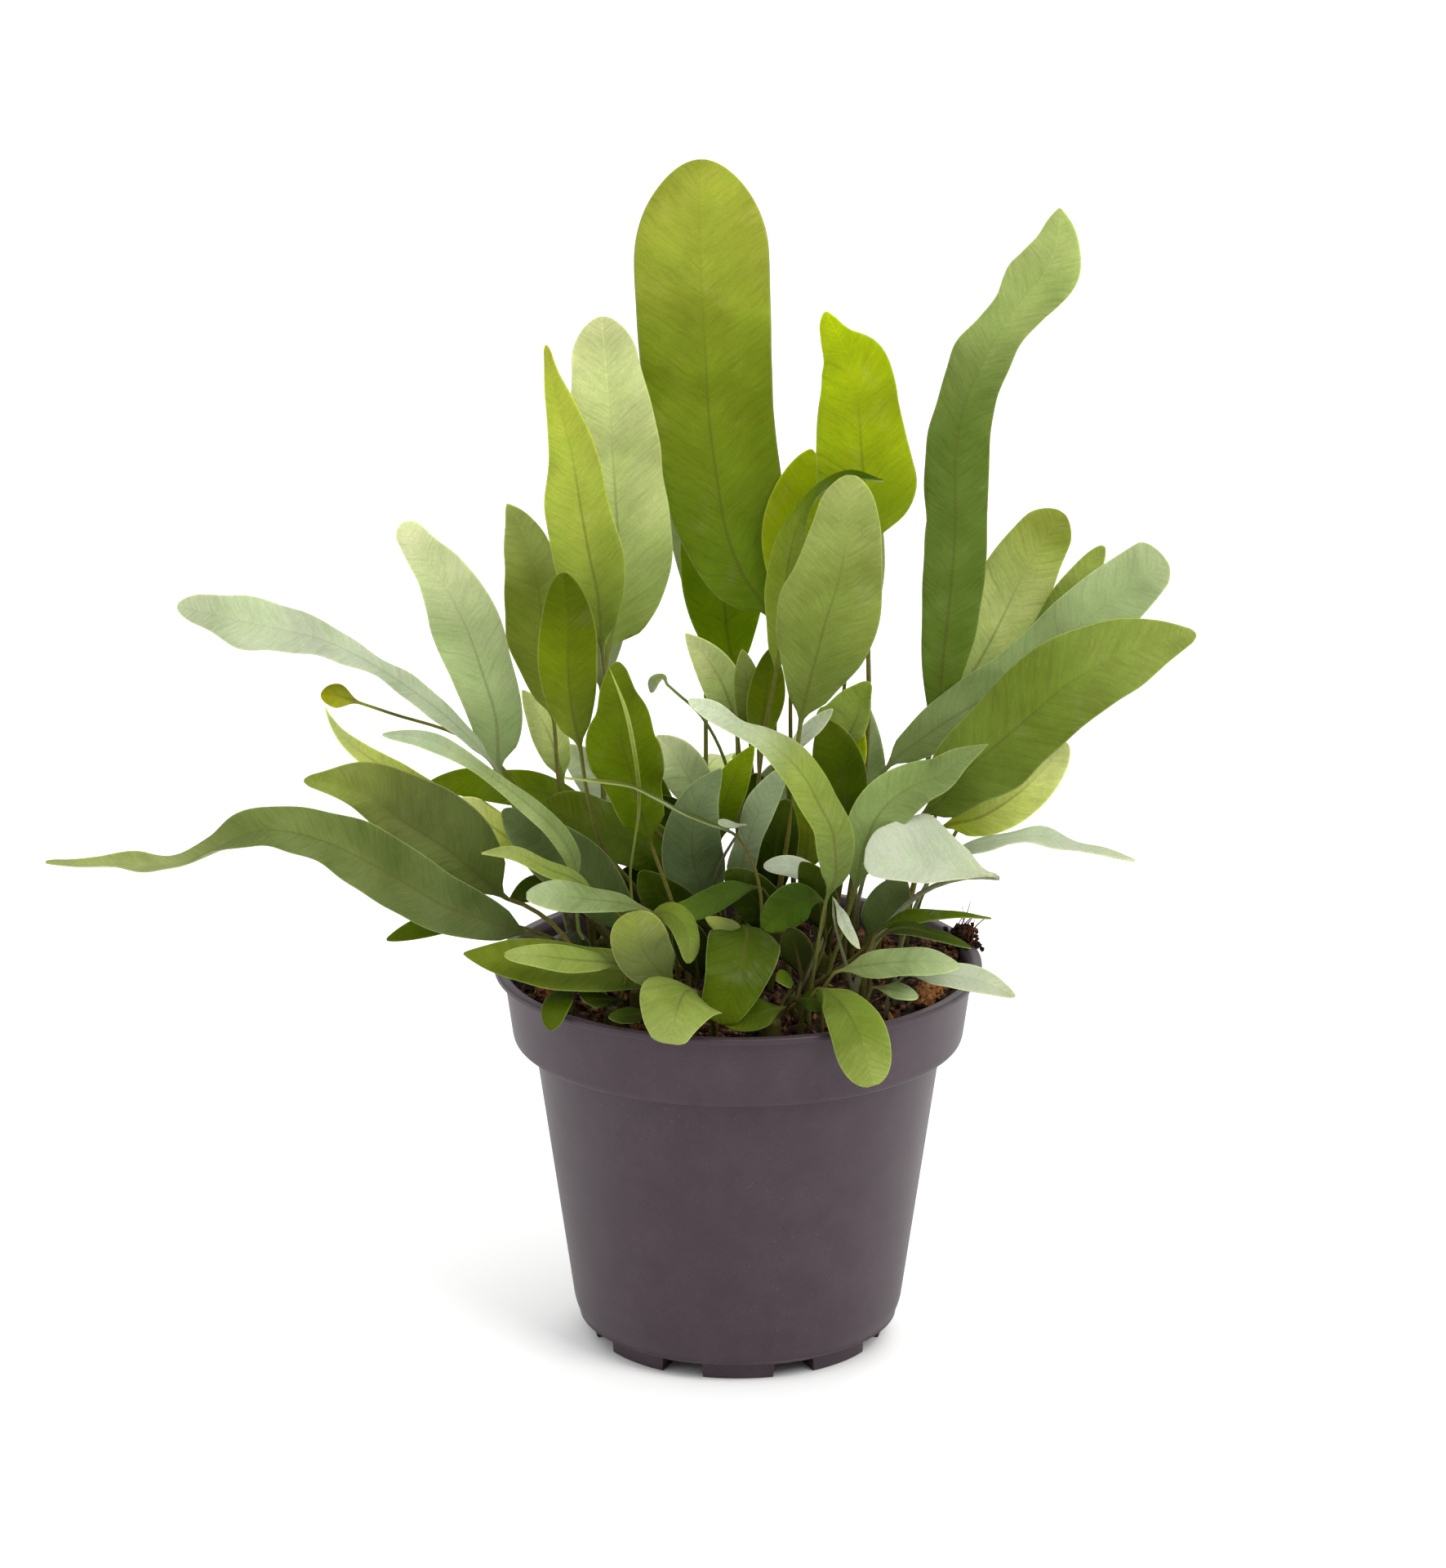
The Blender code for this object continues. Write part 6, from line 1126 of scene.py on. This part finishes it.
def make_pot():
    """The pot as a profile turned round its axis: r(u), z(u) carried over all angles, with grooves in its foot."""
    sizes = bpy.context.scene.fern_pot
    lip = sizes.lip_round / MM
    outline = rounded_outline([
        (0.5, 0, 0), (12, 0, 0), (HUB_RADIUS - 0.1, 0, 0), (HUB_RADIUS + 0.1, 0, 0), (24, 0, 0), (29, 0, 0),
        (33, 0, 0), (FOOT_RADIUS, 0, 0.5), (FOOT_RADIUS + 0.1, FOOT_HEIGHT, 0.3),
        (FOOT_EDGE_RADIUS, FOOT_HEIGHT + 0.1, 0.3), (CORNER_RADIUS, FOOT_HEIGHT + 1.2, 0.05),
        (CORNER_RADIUS + 0.22, FOOT_HEIGHT + 1.25, 0.08), (CORNER_RADIUS + 0.22, FOOT_HEIGHT + 1.5, 0.08),
        (CORNER_RADIUS + 0.1, FOOT_HEIGHT + 1.6, 0.05),
        (BODY_LOW_RADIUS - 0.15, BODY_LOW_Z + 2.6, 3.0), (BODY_TOP_RADIUS, COLLAR_UNDER_Z, 0.5),
        (COLLAR_LOW_RADIUS - 2.2, COLLAR_UNDER_Z + 0.1, 0.4), (COLLAR_LOW_RADIUS - 0.4, COLLAR_UNDER_Z + 0.5, 0.7),
        (COLLAR_LOW_RADIUS, COLLAR_LOW_Z, 0.8), (COLLAR_TOP_RADIUS, POT_HEIGHT - LIP_DEPTH, 0.3),
        (LIP_RADIUS, POT_HEIGHT - LIP_DEPTH + 0.1, 0.3), (LIP_RADIUS, POT_HEIGHT, lip), (LIP_INNER, POT_HEIGHT, lip),
        (COLLAR_TOP_RADIUS - WALL, POT_HEIGHT - LIP_DEPTH, 0.6),
        (COLLAR_LOW_RADIUS - WALL, COLLAR_UNDER_Z + WALL + 0.9, 0.4),
        (BODY_TOP_RADIUS - WALL, COLLAR_UNDER_Z + WALL, 0.4), (BODY_LOW_RADIUS - WALL, BODY_LOW_Z + 0.6, 1.0),
        (FOOT_RADIUS, FLOOR_TOP, 0.6), (0.5, FLOOR_TOP, 0),
    ])
    radius, z = outline[:, :1], outline[:, 1:]
    angles, grooved = foot_turns(radius[:, 0])
    cut = grooved[None, :] & (radius > HUB_RADIUS) & (np.arange(len(z))[:, None] < np.argmax(z > 10))
    height = np.where(cut, np.maximum(z, FOOT_HEIGHT - 0.2), z)
    skin = Skin()
    skin.add(np.stack([radius * np.cos(angles), radius * np.sin(angles), height], axis=-1))
    made, shader = pattern_material("pot_plastic", grain_pattern, {
        "Base": tuple(sizes.plastic), "Dust": tuple(sizes.dust), "Dust Share": sizes.dusty,
        "Grain": sizes.grain}, 0.28, 0.12 * MM, 0.4)
    shader.inputs["Specular Tint"].default_value = (1, 0.88, 0.98, 1)
    pot = skin.make("nursery_pot", [made])
    pot.data.set_sharp_from_angle(angle=math.radians(50))
    drill(pot)
    finish(pot, "pot_plastic", "pot")


def drill(pot):
    """Drain holes through the pot's floor, one in each groove."""
    turn = 2 * np.pi * np.arange(24) / 24
    cutter = Skin()
    for k in range(GROOVES):
        middle = 2 * np.pi * (k + 0.5) / GROOVES
        ring = np.stack([DRAIN_AT * np.cos(middle) + DRAIN_RADIUS * np.cos(turn),
                         DRAIN_AT * np.sin(middle) + DRAIN_RADIUS * np.sin(turn)], axis=-1)
        rows = [np.column_stack([ring, np.full(len(ring), z)]) for z in (1.0, FLOOR_TOP + 2)]
        cutter.add(np.array(rows))
    tool = cutter.make("drain_cutter", [])
    change = pot.modifiers.new("drains", "BOOLEAN")
    change.operation = "DIFFERENCE"
    change.solver = "EXACT"
    change.object = tool
    graph = bpy.context.evaluated_depsgraph_get()
    result = bpy.data.meshes.new_from_object(pot.evaluated_get(graph))
    pot.modifiers.clear()
    pot.data = result
    bpy.data.objects.remove(tool)


def finish(piece, slot, *nodes):
    """Every piece rides on the one body, and stands for its solids."""
    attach(piece, "root")
    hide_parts(*nodes)


def value_noise(x, y, step, seed):
    """Smooth noise from -1 to 1: random numbers on a square lattice, blended by u^2 (3 - 2u)."""
    lattice = np.random.default_rng(seed).uniform(-1, 1, (64, 64))
    gx, gy = x / step, y / step
    ix, iy = np.floor(gx).astype(int), np.floor(gy).astype(int)
    u, v = gx - ix, gy - iy
    u, v = u * u * (3 - 2 * u), v * v * (3 - 2 * v)
    corner = [[lattice[(ix + a) % 64, (iy + b) % 64] for b in (0, 1)] for a in (0, 1)]
    return (corner[0][0] * (1 - u) * (1 - v) + corner[1][0] * u * (1 - v)
            + corner[0][1] * (1 - u) * v + corner[1][1] * u * v)


def soil_height(x, y):
    """The soil's top: the low mound of the part's source, a heap by the right rim, and clods from three noises."""
    away = np.hypot(x, y) / 55
    lumps = 0.7 * np.sin(x * 0.21 + 1.0) * np.cos(y * 0.17) + 0.5 * np.sin(x * 0.43 - y * 0.37)
    clods = 1.3 * value_noise(x, y, 4.2, 1) + 0.7 * value_noise(x, y, 1.9, 2) + 0.3 * value_noise(x, y, 0.9, 3)
    heap = HEAP_HEIGHT * np.exp(-((x - HEAP_X) ** 2 + (y - HEAP_Y) ** 2 / 2.5) / HEAP_SIZE**2)
    return SOIL_EDGE_Z + SOIL_MOUND * (1 - away**2) + lumps * (1 - away**4) + clods * (1 - 0.6 * away**8) + heap


def add_lumps(skin, number, places, sizes, stretch, rng):
    """Small crumbs or chips: icosahedra with uneven corners, stretched and turned at random."""
    golden = (1 + math.sqrt(5)) / 2
    corners = []
    for a in (-1, 1):
        for b in (-golden, golden):
            corners += [(0, a, b), (a, b, 0), (b, 0, a)]
    corners = unit(np.array(corners))
    hull = icosahedron_faces(corners)
    count = len(places)
    shape = corners[None] * rng.uniform(0.7, 1.2, (count, len(corners), 1)) * np.array(stretch)
    w, x, y, z = unit(rng.normal(size=(count, 4))).T
    turn = np.array([
        [1 - 2 * (y * y + z * z), 2 * (x * y - z * w), 2 * (x * z + y * w)],
        [2 * (x * y + z * w), 1 - 2 * (x * x + z * z), 2 * (y * z - x * w)],
        [2 * (x * z - y * w), 2 * (y * z + x * w), 1 - 2 * (x * x + y * y)],
    ])
    points = np.einsum("ijn,ncj->nci", turn, shape) * sizes[:, None, None] + places[:, None, :]
    faces = hull[None] + np.arange(count)[:, None, None] * len(corners)
    skin.add_solid(points.reshape(-1, 3), faces.reshape(-1, 3).tolist(), number)


def icosahedron_faces(corners):
    """Triangles of the icosahedron: each three corners that lie one edge apart, turned to face out."""
    edge = np.min([np.linalg.norm(corners[0] - c) for c in corners[1:]]) * 1.01
    near = np.linalg.norm(corners[:, None] - corners[None], axis=2) < edge
    faces = []
    for i in range(12):
        for j in range(i + 1, 12):
            for k in range(j + 1, 12):
                if near[i, j] and near[j, k] and near[i, k]:
                    out = np.dot(np.cross(corners[j] - corners[i], corners[k] - corners[i]), corners[i]) > 0
                    faces.append((i, j, k) if out else (i, k, j))
    return np.array(faces)


def add_thread(skin, number, start, heading, length, radius, rng):
    """A thin fibre: a tapering tube along a gently wandering line."""
    steps = np.linspace(0, 1, 9)
    bend = rng.normal(size=3) * 0.5
    drift = rng.normal(size=3) * 0.35
    line = start + length * (steps[:, None] * heading + (steps**2)[:, None] * bend * 0.6
                             + np.sin(steps * 7)[:, None] * drift * 0.12)
    tangent = unit(np.gradient(line, axis=0))
    side = unit(np.cross(tangent, (0.3, 0.1, 0.95)))
    up = np.cross(side, tangent)
    turn = 2 * np.pi * np.arange(5) / 5
    thick = radius * (1 - 0.6 * steps)[:, None, None]
    ring = np.cos(turn)[None, :, None] * side[:, None] + np.sin(turn)[None, :, None] * up[:, None]
    skin.add(line[:, None] + thick * ring, number)


def soil_materials():
    sizes = bpy.context.scene.fern_soil
    made = []
    for name, light, fleck in (("peat", sizes.peat_light, sizes.bark), ("bark_chips", sizes.bark, sizes.bark_light)):
        made.append(pattern_material(name, crumb_pattern, {
            "Dark": tuple(sizes.peat), "Light": tuple(light), "Fleck": tuple(fleck),
            "Fleck Share": sizes.flecks, "Grain": sizes.grain}, 0.7, 0.6 * MM)[0])
    return made


def make_soil():
    """Soil that fills the pot: a lumpy top z(x, y) and the walls of the solid, with crumbs, chips and fibres."""
    sizes = bpy.context.scene.fern_soil
    columns = 300
    share = (SOIL_EDGE_Z - COLLAR_UNDER_Z - WALL) / (POT_HEIGHT - LIP_DEPTH - COLLAR_UNDER_Z - WALL)
    edge = COLLAR_LOW_RADIUS - WALL + share * (COLLAR_TOP_RADIUS - COLLAR_LOW_RADIUS) - GAP
    down = [(COLLAR_LOW_RADIUS - WALL - GAP, COLLAR_UNDER_Z + WALL + 1.2), (BODY_TOP_RADIUS - WALL - GAP, 78.4),
            (BODY_LOW_RADIUS - WALL - GAP, 7.1), (FOOT_RADIUS - GAP, FLOOR_TOP + GAP), (0.5, FLOOR_TOP + GAP)]
    turn = 2 * np.pi * np.arange(columns) / columns
    radii = np.concatenate([[0.3], np.linspace(0.8, edge - 0.2, 84), [edge]])[:, None]
    x, y = radii * np.cos(turn), radii * np.sin(turn)
    top = np.stack([x, y, soil_height(x, y)], axis=-1)
    walls = np.array([[(r * np.cos(a), r * np.sin(a), z) for a in turn] for r, z in down])
    skin = Skin()
    skin.add(np.concatenate([top, walls]))
    rng = np.random.default_rng(sizes.seed)
    for number, count, low, high, stretch in (
        (0, sizes.crumbs, 0.35, 1.3, (1, 0.9, 0.75)), (1, sizes.chips, 0.7, 1.9, (1.5, 0.75, 0.35)),
    ):
        away = 52.5 * np.sqrt(rng.uniform(0, 1, count))
        around = rng.uniform(0, 2 * np.pi, count)
        cx, cy = away * np.cos(around), away * np.sin(around)
        size = rng.uniform(low, high, count) ** 1.3
        add_lumps(skin, number, np.stack([cx, cy, soil_height(cx, cy) + 0.25 * size], axis=-1), size, stretch, rng)
    off = rng.normal(0, 1, sizes.spilled)
    away = rng.uniform(LIP_INNER - 6, LIP_RADIUS + 1.2, sizes.spilled)
    lift = rng.uniform(0, 1, sizes.spilled) * SPILL_HEIGHT * np.exp(-(off**2)) - 3 * (away < LIP_INNER - 1)
    around = SPILL_ANGLE + SPILL_SPREAD * off
    heap = np.stack([away * np.cos(around), away * np.sin(around), POT_HEIGHT + 0.2 + lift], axis=-1)
    add_lumps(skin, 0, heap, rng.uniform(0.4, 1.1, sizes.spilled), (1, 0.8, 0.7), rng)
    for place in heap[away > LIP_INNER][:14]:
        heading = unit(np.array([rng.uniform(0, 0.8), rng.normal() * 0.6, 1.0]))
        add_thread(skin, 1, place, heading, rng.uniform(3, 6), rng.uniform(0.14, 0.3), rng)
    for _ in range(sizes.fibres):
        away = 50 * math.sqrt(rng.uniform())
        around = rng.uniform(0, 2 * math.pi)
        start = np.array([away * math.cos(around), away * math.sin(around), 0.0])
        start[2] = soil_height(start[0], start[1])
        heading = unit(np.array([rng.normal(), rng.normal(), abs(rng.normal()) * 0.45]))
        add_thread(skin, 1, start, heading, rng.uniform(4, 11), rng.uniform(0.1, 0.24), rng)
    finish(skin.make("potting_soil", soil_materials()), "potting_soil", "soil")


def make_rhizome(node, from_degrees, to_degrees, rng):
    """A knobbly creeping stem along an arc of the soil, covered with pointed scales that lie along it."""
    sizes = bpy.context.scene.fern_soil
    count = 90
    share = np.linspace(0, 1, count)
    angle = np.radians(from_degrees + share * (to_degrees - from_degrees))
    knob = 0.82 + 0.18 * np.cos(share * 6 * 2.4)
    taper = 0.55 + 0.45 * smooth_step(share, 0, 1 / 6) * smooth_step(1 - share, 0, 1 / 6)
    radius = RHIZOME_RADIUS * knob * taper
    out = np.stack([np.cos(angle), np.sin(angle), np.zeros(count)], axis=-1)
    centre = out * RHIZOME_ARC + np.array((0, 0, SOIL_EDGE_Z + 1.6))
    up = np.array((0, 0, 1.0))
    turn = 2 * np.pi * np.arange(30) / 30
    ring = np.cos(turn)[None, :, None] * out[:, None] + np.sin(turn)[None, :, None] * up
    rough = 1 + 0.06 * value_noise(share[:, None] * 60, turn[None] * 4, 1.0, 5)
    skin = Skin()
    skin.add(centre[:, None] + (radius[:, None] * rough)[..., None] * ring)
    for _ in range(sizes.scales):
        i = rng.integers(2, count - 3)
        k = rng.integers(0, 30)
        way = unit(centre[i + 1] - centre[i - 1]) * rng.choice([-1, 1])
        normal = ring[i, k]
        heading = unit(way + 0.5 * normal * rng.uniform(0.3, 1) + rng.normal(size=3) * 0.25)
        add_thread(skin, 1, centre[i] + radius[i] * 0.97 * normal, heading, rng.uniform(1.2, 3.4),
                   rng.uniform(0.16, 0.34), rng)
    made = [
        pattern_material(name, crumb_pattern, {
            "Dark": tuple(sizes.rhizome), "Light": tuple(light), "Fleck": tuple(sizes.bark_light),
            "Fleck Share": 0.3, "Grain": sizes.grain}, 0.5, 0.4 * MM)[0]
        for name, light in (("rhizome_skin", sizes.rhizome_light), ("rhizome_scales", sizes.bark_light))
    ]
    finish(skin.make("scaly_" + node, made), "rhizome_skin", node)


def make_fronds(group):
    """Every frond of one group, each a closed blade and stem in place of its solid."""
    order = [frond.name for fronds in GROUPS.values() for frond in fronds]
    slots = {row["node"]: row["material_slot"] for row in frame["record"]["subparts"]}
    for frond in GROUPS[group]:
        phase = order.index(frond.name) * GOLDEN_SHARE
        skin = Skin()
        rows, place, share = frond_surface(frond, phase, (*frond.root, STEM_FREE_Z), STEM_FOOT_Z)
        skin.add(rows, 0, place, share)
        blade = skin.make(frond.name.replace("frond", "blade"), [frond_material(frond.tone)])
        finish(blade, slots[frond.name], frond.name)


def make_tufts():
    """Small fronds on common crowns: a short ringed stump carries each tuft."""
    slots = {row["node"]: row["material_slot"] for row in frame["record"]["subparts"]}
    turn = 2 * np.pi * np.arange(24) / 24
    stump = rounded_outline([(0.3, STEM_FOOT_Z, 0), (CROWN_RADIUS, STEM_FOOT_Z, 0.2),
                             (CROWN_RADIUS, CROWN_TOP_Z - 1.2, 0.5), (CROWN_RADIUS * 0.75, CROWN_TOP_Z, 0.5),
                             (0.3, CROWN_TOP_Z, 0)])
    for index, tuft in enumerate(TUFTS):
        skin = Skin()
        tones = list(dict.fromkeys(frond.tone for frond in tuft.fronds))
        x, y = tuft.root
        rows = np.stack([x + stump[:, :1] * np.cos(turn), y + stump[:, :1] * np.sin(turn),
                         np.repeat(stump[:, 1:], len(turn), axis=1)], axis=-1)
        below = np.zeros_like(rows)
        below[..., 1] = -1
        skin.add(rows, 0, rows, below)
        for k, frond in enumerate(tuft.fronds):
            start = (x + frond.root[0], y + frond.root[1], CROWN_TOP_Z - 3)
            rows, place, share = frond_surface(frond, (index + 5 * k) * GOLDEN_SHARE, start)
            skin.add(rows, tones.index(frond.tone), place, share)
        blades = skin.make(tuft.name.replace("tuft", "young_fronds"), [frond_material(t) for t in tones])
        finish(blades, slots[tuft.name], tuft.name)


def area_light(name, place, size, power, color):
    """A soft square light that looks at the middle of the plant."""
    data = bpy.data.lights.new(name, "AREA")
    data.size = size
    data.energy = power
    data.color = color
    thing = bpy.data.objects.new(name, data)
    bpy.context.scene.collection.objects.link(thing)
    thing.location = place
    aim = np.array((0, 0, 0.14)) - np.array(place)
    flat = math.hypot(aim[0], aim[1])
    thing.rotation_euler = (math.atan2(flat, -aim[2]), 0, math.atan2(aim[1], aim[0]) - math.pi / 2)


def make_stage():
    """A pale floor, a white surround, soft lights and the camera where the picture was taken."""
    sizes = bpy.context.scene.fern_stage
    scene = bpy.context.scene
    half = sizes.floor_side / 2
    mesh = bpy.data.meshes.new("floor")
    mesh.from_pydata([(-half, -half, 0), (half, -half, 0), (half, half, 0), (-half, half, 0)], [], [(0, 1, 2, 3)])
    floor = bpy.data.objects.new("floor", mesh)
    scene.collection.objects.link(floor)
    made, _, shader, _ = new_material("pale_floor")
    shader.inputs["Base Color"].default_value = (*sizes.floor, 1)
    shader.inputs["Roughness"].default_value = 0.7
    mesh.materials.append(made)

    world = bpy.data.worlds.new("white_surround")
    world.use_nodes = True
    make = Nodes(world.node_tree)
    direction = make.add("ShaderNodeTexCoord").outputs["Generated"]
    _, back, up = make.add("ShaderNodeSeparateXYZ", {0: direction}).outputs
    side_light = make.rise(back, -0.95, 0.1, sizes.front_power, sizes.surround_power)
    sky = world.node_tree.nodes["Background"]
    sky.inputs["Color"].default_value = (*sizes.surround, 1)
    make.put(sky.inputs["Strength"], make.math("MAXIMUM", side_light, make.rise(up, 0.1, 0.8, 0, sizes.top_power)))
    scene.world = world
    area_light("key_softbox", (0.95, -0.9, 1.3), 0.9, sizes.key_power, (1, 0.99, 0.97))
    area_light("fill_softbox", (-1.1, -0.8, 0.9), 1.0, sizes.fill_power, (0.98, 0.99, 1))
    area_light("back_softbox", (0.35, 1.2, 1.25), 0.9, sizes.back_power, (1, 1, 0.98))

    data = bpy.data.cameras.new("camera")
    data.lens = CAMERA_LENS
    data.clip_end = 20
    camera = bpy.data.objects.new("camera", data)
    scene.collection.objects.link(camera)
    camera.location = np.array(CAMERA_PLACE) * MM
    camera.rotation_euler = (math.radians(90 - CAMERA_DIP), 0, 0)
    scene.camera = camera
    scene.view_settings.view_transform = "Standard"


def length(name, default, about, **limits):
    """A length property in metres."""
    return FloatProperty(name=name, default=default, unit="LENGTH", description=about, **limits)


def portion(name, default, about):
    """A share of one, or a little more."""
    return FloatProperty(name=name, default=default, min=0, subtype="FACTOR", description=about)


def tint(name, default, about):
    """A colour, held as linear values."""
    return FloatVectorProperty(name=name, subtype="COLOR", size=3, min=0, max=1, default=default,
                               description=about)


class FernPotSettings(PropertyGroup):
    plastic: tint("Plastic", linear((50, 38, 44)), "Colour of the pot's plastic")
    dust: tint("Dust", linear((98, 86, 92)), "Colour of dust and scuffs on the pot")
    dusty: portion("Dust Share", 0.05, "How much dust lies on the pot")
    grain: FloatProperty(name="Grain", default=2600, description="Grains of the moulded surface in a metre")
    lip_round: length("Lip Rounding", 0.0006, "Rounding of the pot's lip")


class FernSoilSettings(PropertyGroup):
    peat: tint("Peat", linear((14, 8, 6)), "Darkest colour of the soil")
    peat_light: tint("Dry Peat", linear((50, 32, 20)), "Colour of dry crumbs")
    bark: tint("Bark", linear((112, 72, 44)), "Colour of bark chips and fibres")
    bark_light: tint("Pale Bark", linear((168, 122, 78)), "Colour of pale chips and scales")
    rhizome: tint("Rhizome", linear((74, 42, 18)), "Colour of the creeping stems under their scales")
    rhizome_light: tint("Rhizome Light", linear((150, 98, 48)), "Colour of the stems' worn places")
    flecks: portion("Flecks", 0.5, "How strongly single grains stand out")
    grain: FloatProperty(name="Grain", default=700, description="Soil grains in a metre")
    crumbs: IntProperty(name="Crumbs", default=1500, min=0, description="Loose crumbs on the soil")
    chips: IntProperty(name="Chips", default=260, min=0, description="Bark chips on the soil")
    spilled: IntProperty(name="Spilled Crumbs", default=260, min=0, description="Crumbs heaped on the right rim")
    fibres: IntProperty(name="Fibres", default=130, min=0, description="Fibres on the soil")
    scales: IntProperty(name="Scales", default=330, min=0, description="Scales on each rhizome")
    seed: IntProperty(name="Seed", default=7, description="Changes the random places of crumbs and fibres")


class FernFrondSettings(PropertyGroup):
    thickness: length("Thickness", 0.00055, "Thickness of a blade away from its midrib")
    ripple: length("Ripple", 0.0004, "Height of the fine waves along a margin")
    ripple_gap: length("Ripple Gap", 0.0135, "Length of one fine wave")
    pucker: length("Pucker", 0.00016, "Height of the swellings between side veins")
    vein_gap: length("Vein Gap", 0.0046, "Distance between side veins")
    veins: portion("Veins", 1.0, "How dark the side veins are")
    through: portion("Light Through", 0.38, "Share of light that passes through a blade")
    underside: tint("Underside", linear((170, 180, 136)), "Colour of the blades' undersides")
    stem: tint("Stem", linear((116, 104, 56)), "Colour of the stems near the soil")
    # the wax colour is also used for the painted sheen patches on the blades
    wax: tint("Wax", linear((188, 200, 176)), "Colour of the waxy bloom")


class FernStageSettings(PropertyGroup):
    floor: tint("Floor", (0.9, 0.9, 0.9), "Colour of the floor")
    floor_side: length("Floor Side", 8.0, "Side of the square floor")
    surround: tint("Surround", (1, 1, 1), "Colour of the light all round")
    surround_power: FloatProperty(name="Surround Power", default=1.0, min=0, description="Light all round")
    front_power: FloatProperty(name="Front Power", default=0.4, min=0, description="Light from the camera's side")
    top_power: FloatProperty(name="Top Power", default=1.3, min=0, description="Light from straight above")
    key_power: FloatProperty(name="Key Power", default=20, min=0, unit="POWER", description="Front right light")
    fill_power: FloatProperty(name="Fill Power", default=4, min=0, unit="POWER", description="Front left light")
    back_power: FloatProperty(name="Back Power", default=7, min=0, unit="POWER", description="Light from behind")


class FERN_OT_pot(Operator):
    """Make the nursery pot in place of its solid"""

    bl_idname = "fern.pot"
    bl_label = "Pot"

    def execute(self, context):
        make_pot()
        return {"FINISHED"}


class FERN_OT_soil(Operator):
    """Make the soil with its crumbs, chips and fibres"""

    bl_idname = "fern.soil"
    bl_label = "Soil"

    def execute(self, context):
        make_soil()
        return {"FINISHED"}


class FERN_OT_rhizomes(Operator):
    """Make the scaly creeping stems that lie on the soil"""

    bl_idname = "fern.rhizomes"
    bl_label = "Rhizomes"

    def execute(self, context):
        rng = np.random.default_rng(context.scene.fern_soil.seed + 1)
        for node, (start, end) in RHIZOMES.items():
            make_rhizome(node, start, end, rng)
        return {"FINISHED"}


class FERN_OT_centre_fronds(Operator):
    """Make the tall fronds in the middle"""

    bl_idname = "fern.centre_fronds"
    bl_label = "Centre Fronds"

    def execute(self, context):
        make_fronds("centre")
        return {"FINISHED"}


class FERN_OT_left_fronds(Operator):
    """Make the fronds that lean to the left"""

    bl_idname = "fern.left_fronds"
    bl_label = "Left Fronds"

    def execute(self, context):
        make_fronds("left")
        return {"FINISHED"}


class FERN_OT_front_fronds(Operator):
    """Make the fronds that stand at the front"""

    bl_idname = "fern.front_fronds"
    bl_label = "Front Fronds"

    def execute(self, context):
        make_fronds("front")
        return {"FINISHED"}


class FERN_OT_right_fronds(Operator):
    """Make the fronds that lean to the right"""

    bl_idname = "fern.right_fronds"
    bl_label = "Right Fronds"

    def execute(self, context):
        make_fronds("right")
        return {"FINISHED"}


class FERN_OT_back_fronds(Operator):
    """Make the fronds behind the others"""

    bl_idname = "fern.back_fronds"
    bl_label = "Back Fronds"

    def execute(self, context):
        make_fronds("back")
        return {"FINISHED"}


class FERN_OT_tufts(Operator):
    """Make the tufts of young fronds on their crowns"""

    bl_idname = "fern.tufts"
    bl_label = "Tufts"

    def execute(self, context):
        make_tufts()
        return {"FINISHED"}


class FERN_OT_stage(Operator):
    """Make the floor, the lights and the camera"""

    bl_idname = "fern.stage"
    bl_label = "Stage"

    def execute(self, context):
        make_stage()
        return {"FINISHED"}


class FERN_PT_build(Panel):
    """Buttons and settings for the potted fern"""

    bl_label = "Potted Fern"
    bl_idname = "FERN_PT_build"
    bl_space_type = "VIEW_3D"
    bl_region_type = "UI"
    bl_category = "Fern"

    def draw(self, context):
        layout = self.layout
        for operator in OPERATORS:
            layout.operator(operator.bl_idname)
        for key in SETTINGS:
            box = layout.box()
            settings = getattr(context.scene, key)
            for name in settings.__annotations__:
                box.prop(settings, name)


SETTINGS = {
    "fern_pot": FernPotSettings,
    "fern_soil": FernSoilSettings,
    "fern_fronds": FernFrondSettings,
    "fern_stage": FernStageSettings,
}

OPERATORS = (
    FERN_OT_stage,
    FERN_OT_pot,
    FERN_OT_soil,
    FERN_OT_rhizomes,
    FERN_OT_centre_fronds,
    FERN_OT_left_fronds,
    FERN_OT_front_fronds,
    FERN_OT_right_fronds,
    FERN_OT_back_fronds,
    FERN_OT_tufts,
)


def register():
    for made in (*SETTINGS.values(), *OPERATORS, FERN_PT_build):
        bpy.utils.register_class(made)
    for key, made in SETTINGS.items():
        setattr(bpy.types.Scene, key, PointerProperty(type=made))


def unregister():
    for key in SETTINGS:
        delattr(bpy.types.Scene, key)
    for made in reversed((*SETTINGS.values(), *OPERATORS, FERN_PT_build)):
        bpy.utils.unregister_class(made)


def main():
    register()
    bpy.ops.fern.stage()
    bpy.ops.fern.pot()
    bpy.ops.fern.soil()
    bpy.ops.fern.rhizomes()
    bpy.ops.fern.centre_fronds()
    bpy.ops.fern.left_fronds()
    bpy.ops.fern.front_fronds()
    bpy.ops.fern.right_fronds()
    bpy.ops.fern.back_fronds()
    bpy.ops.fern.tufts()


if __name__ == "__main__":
    main()
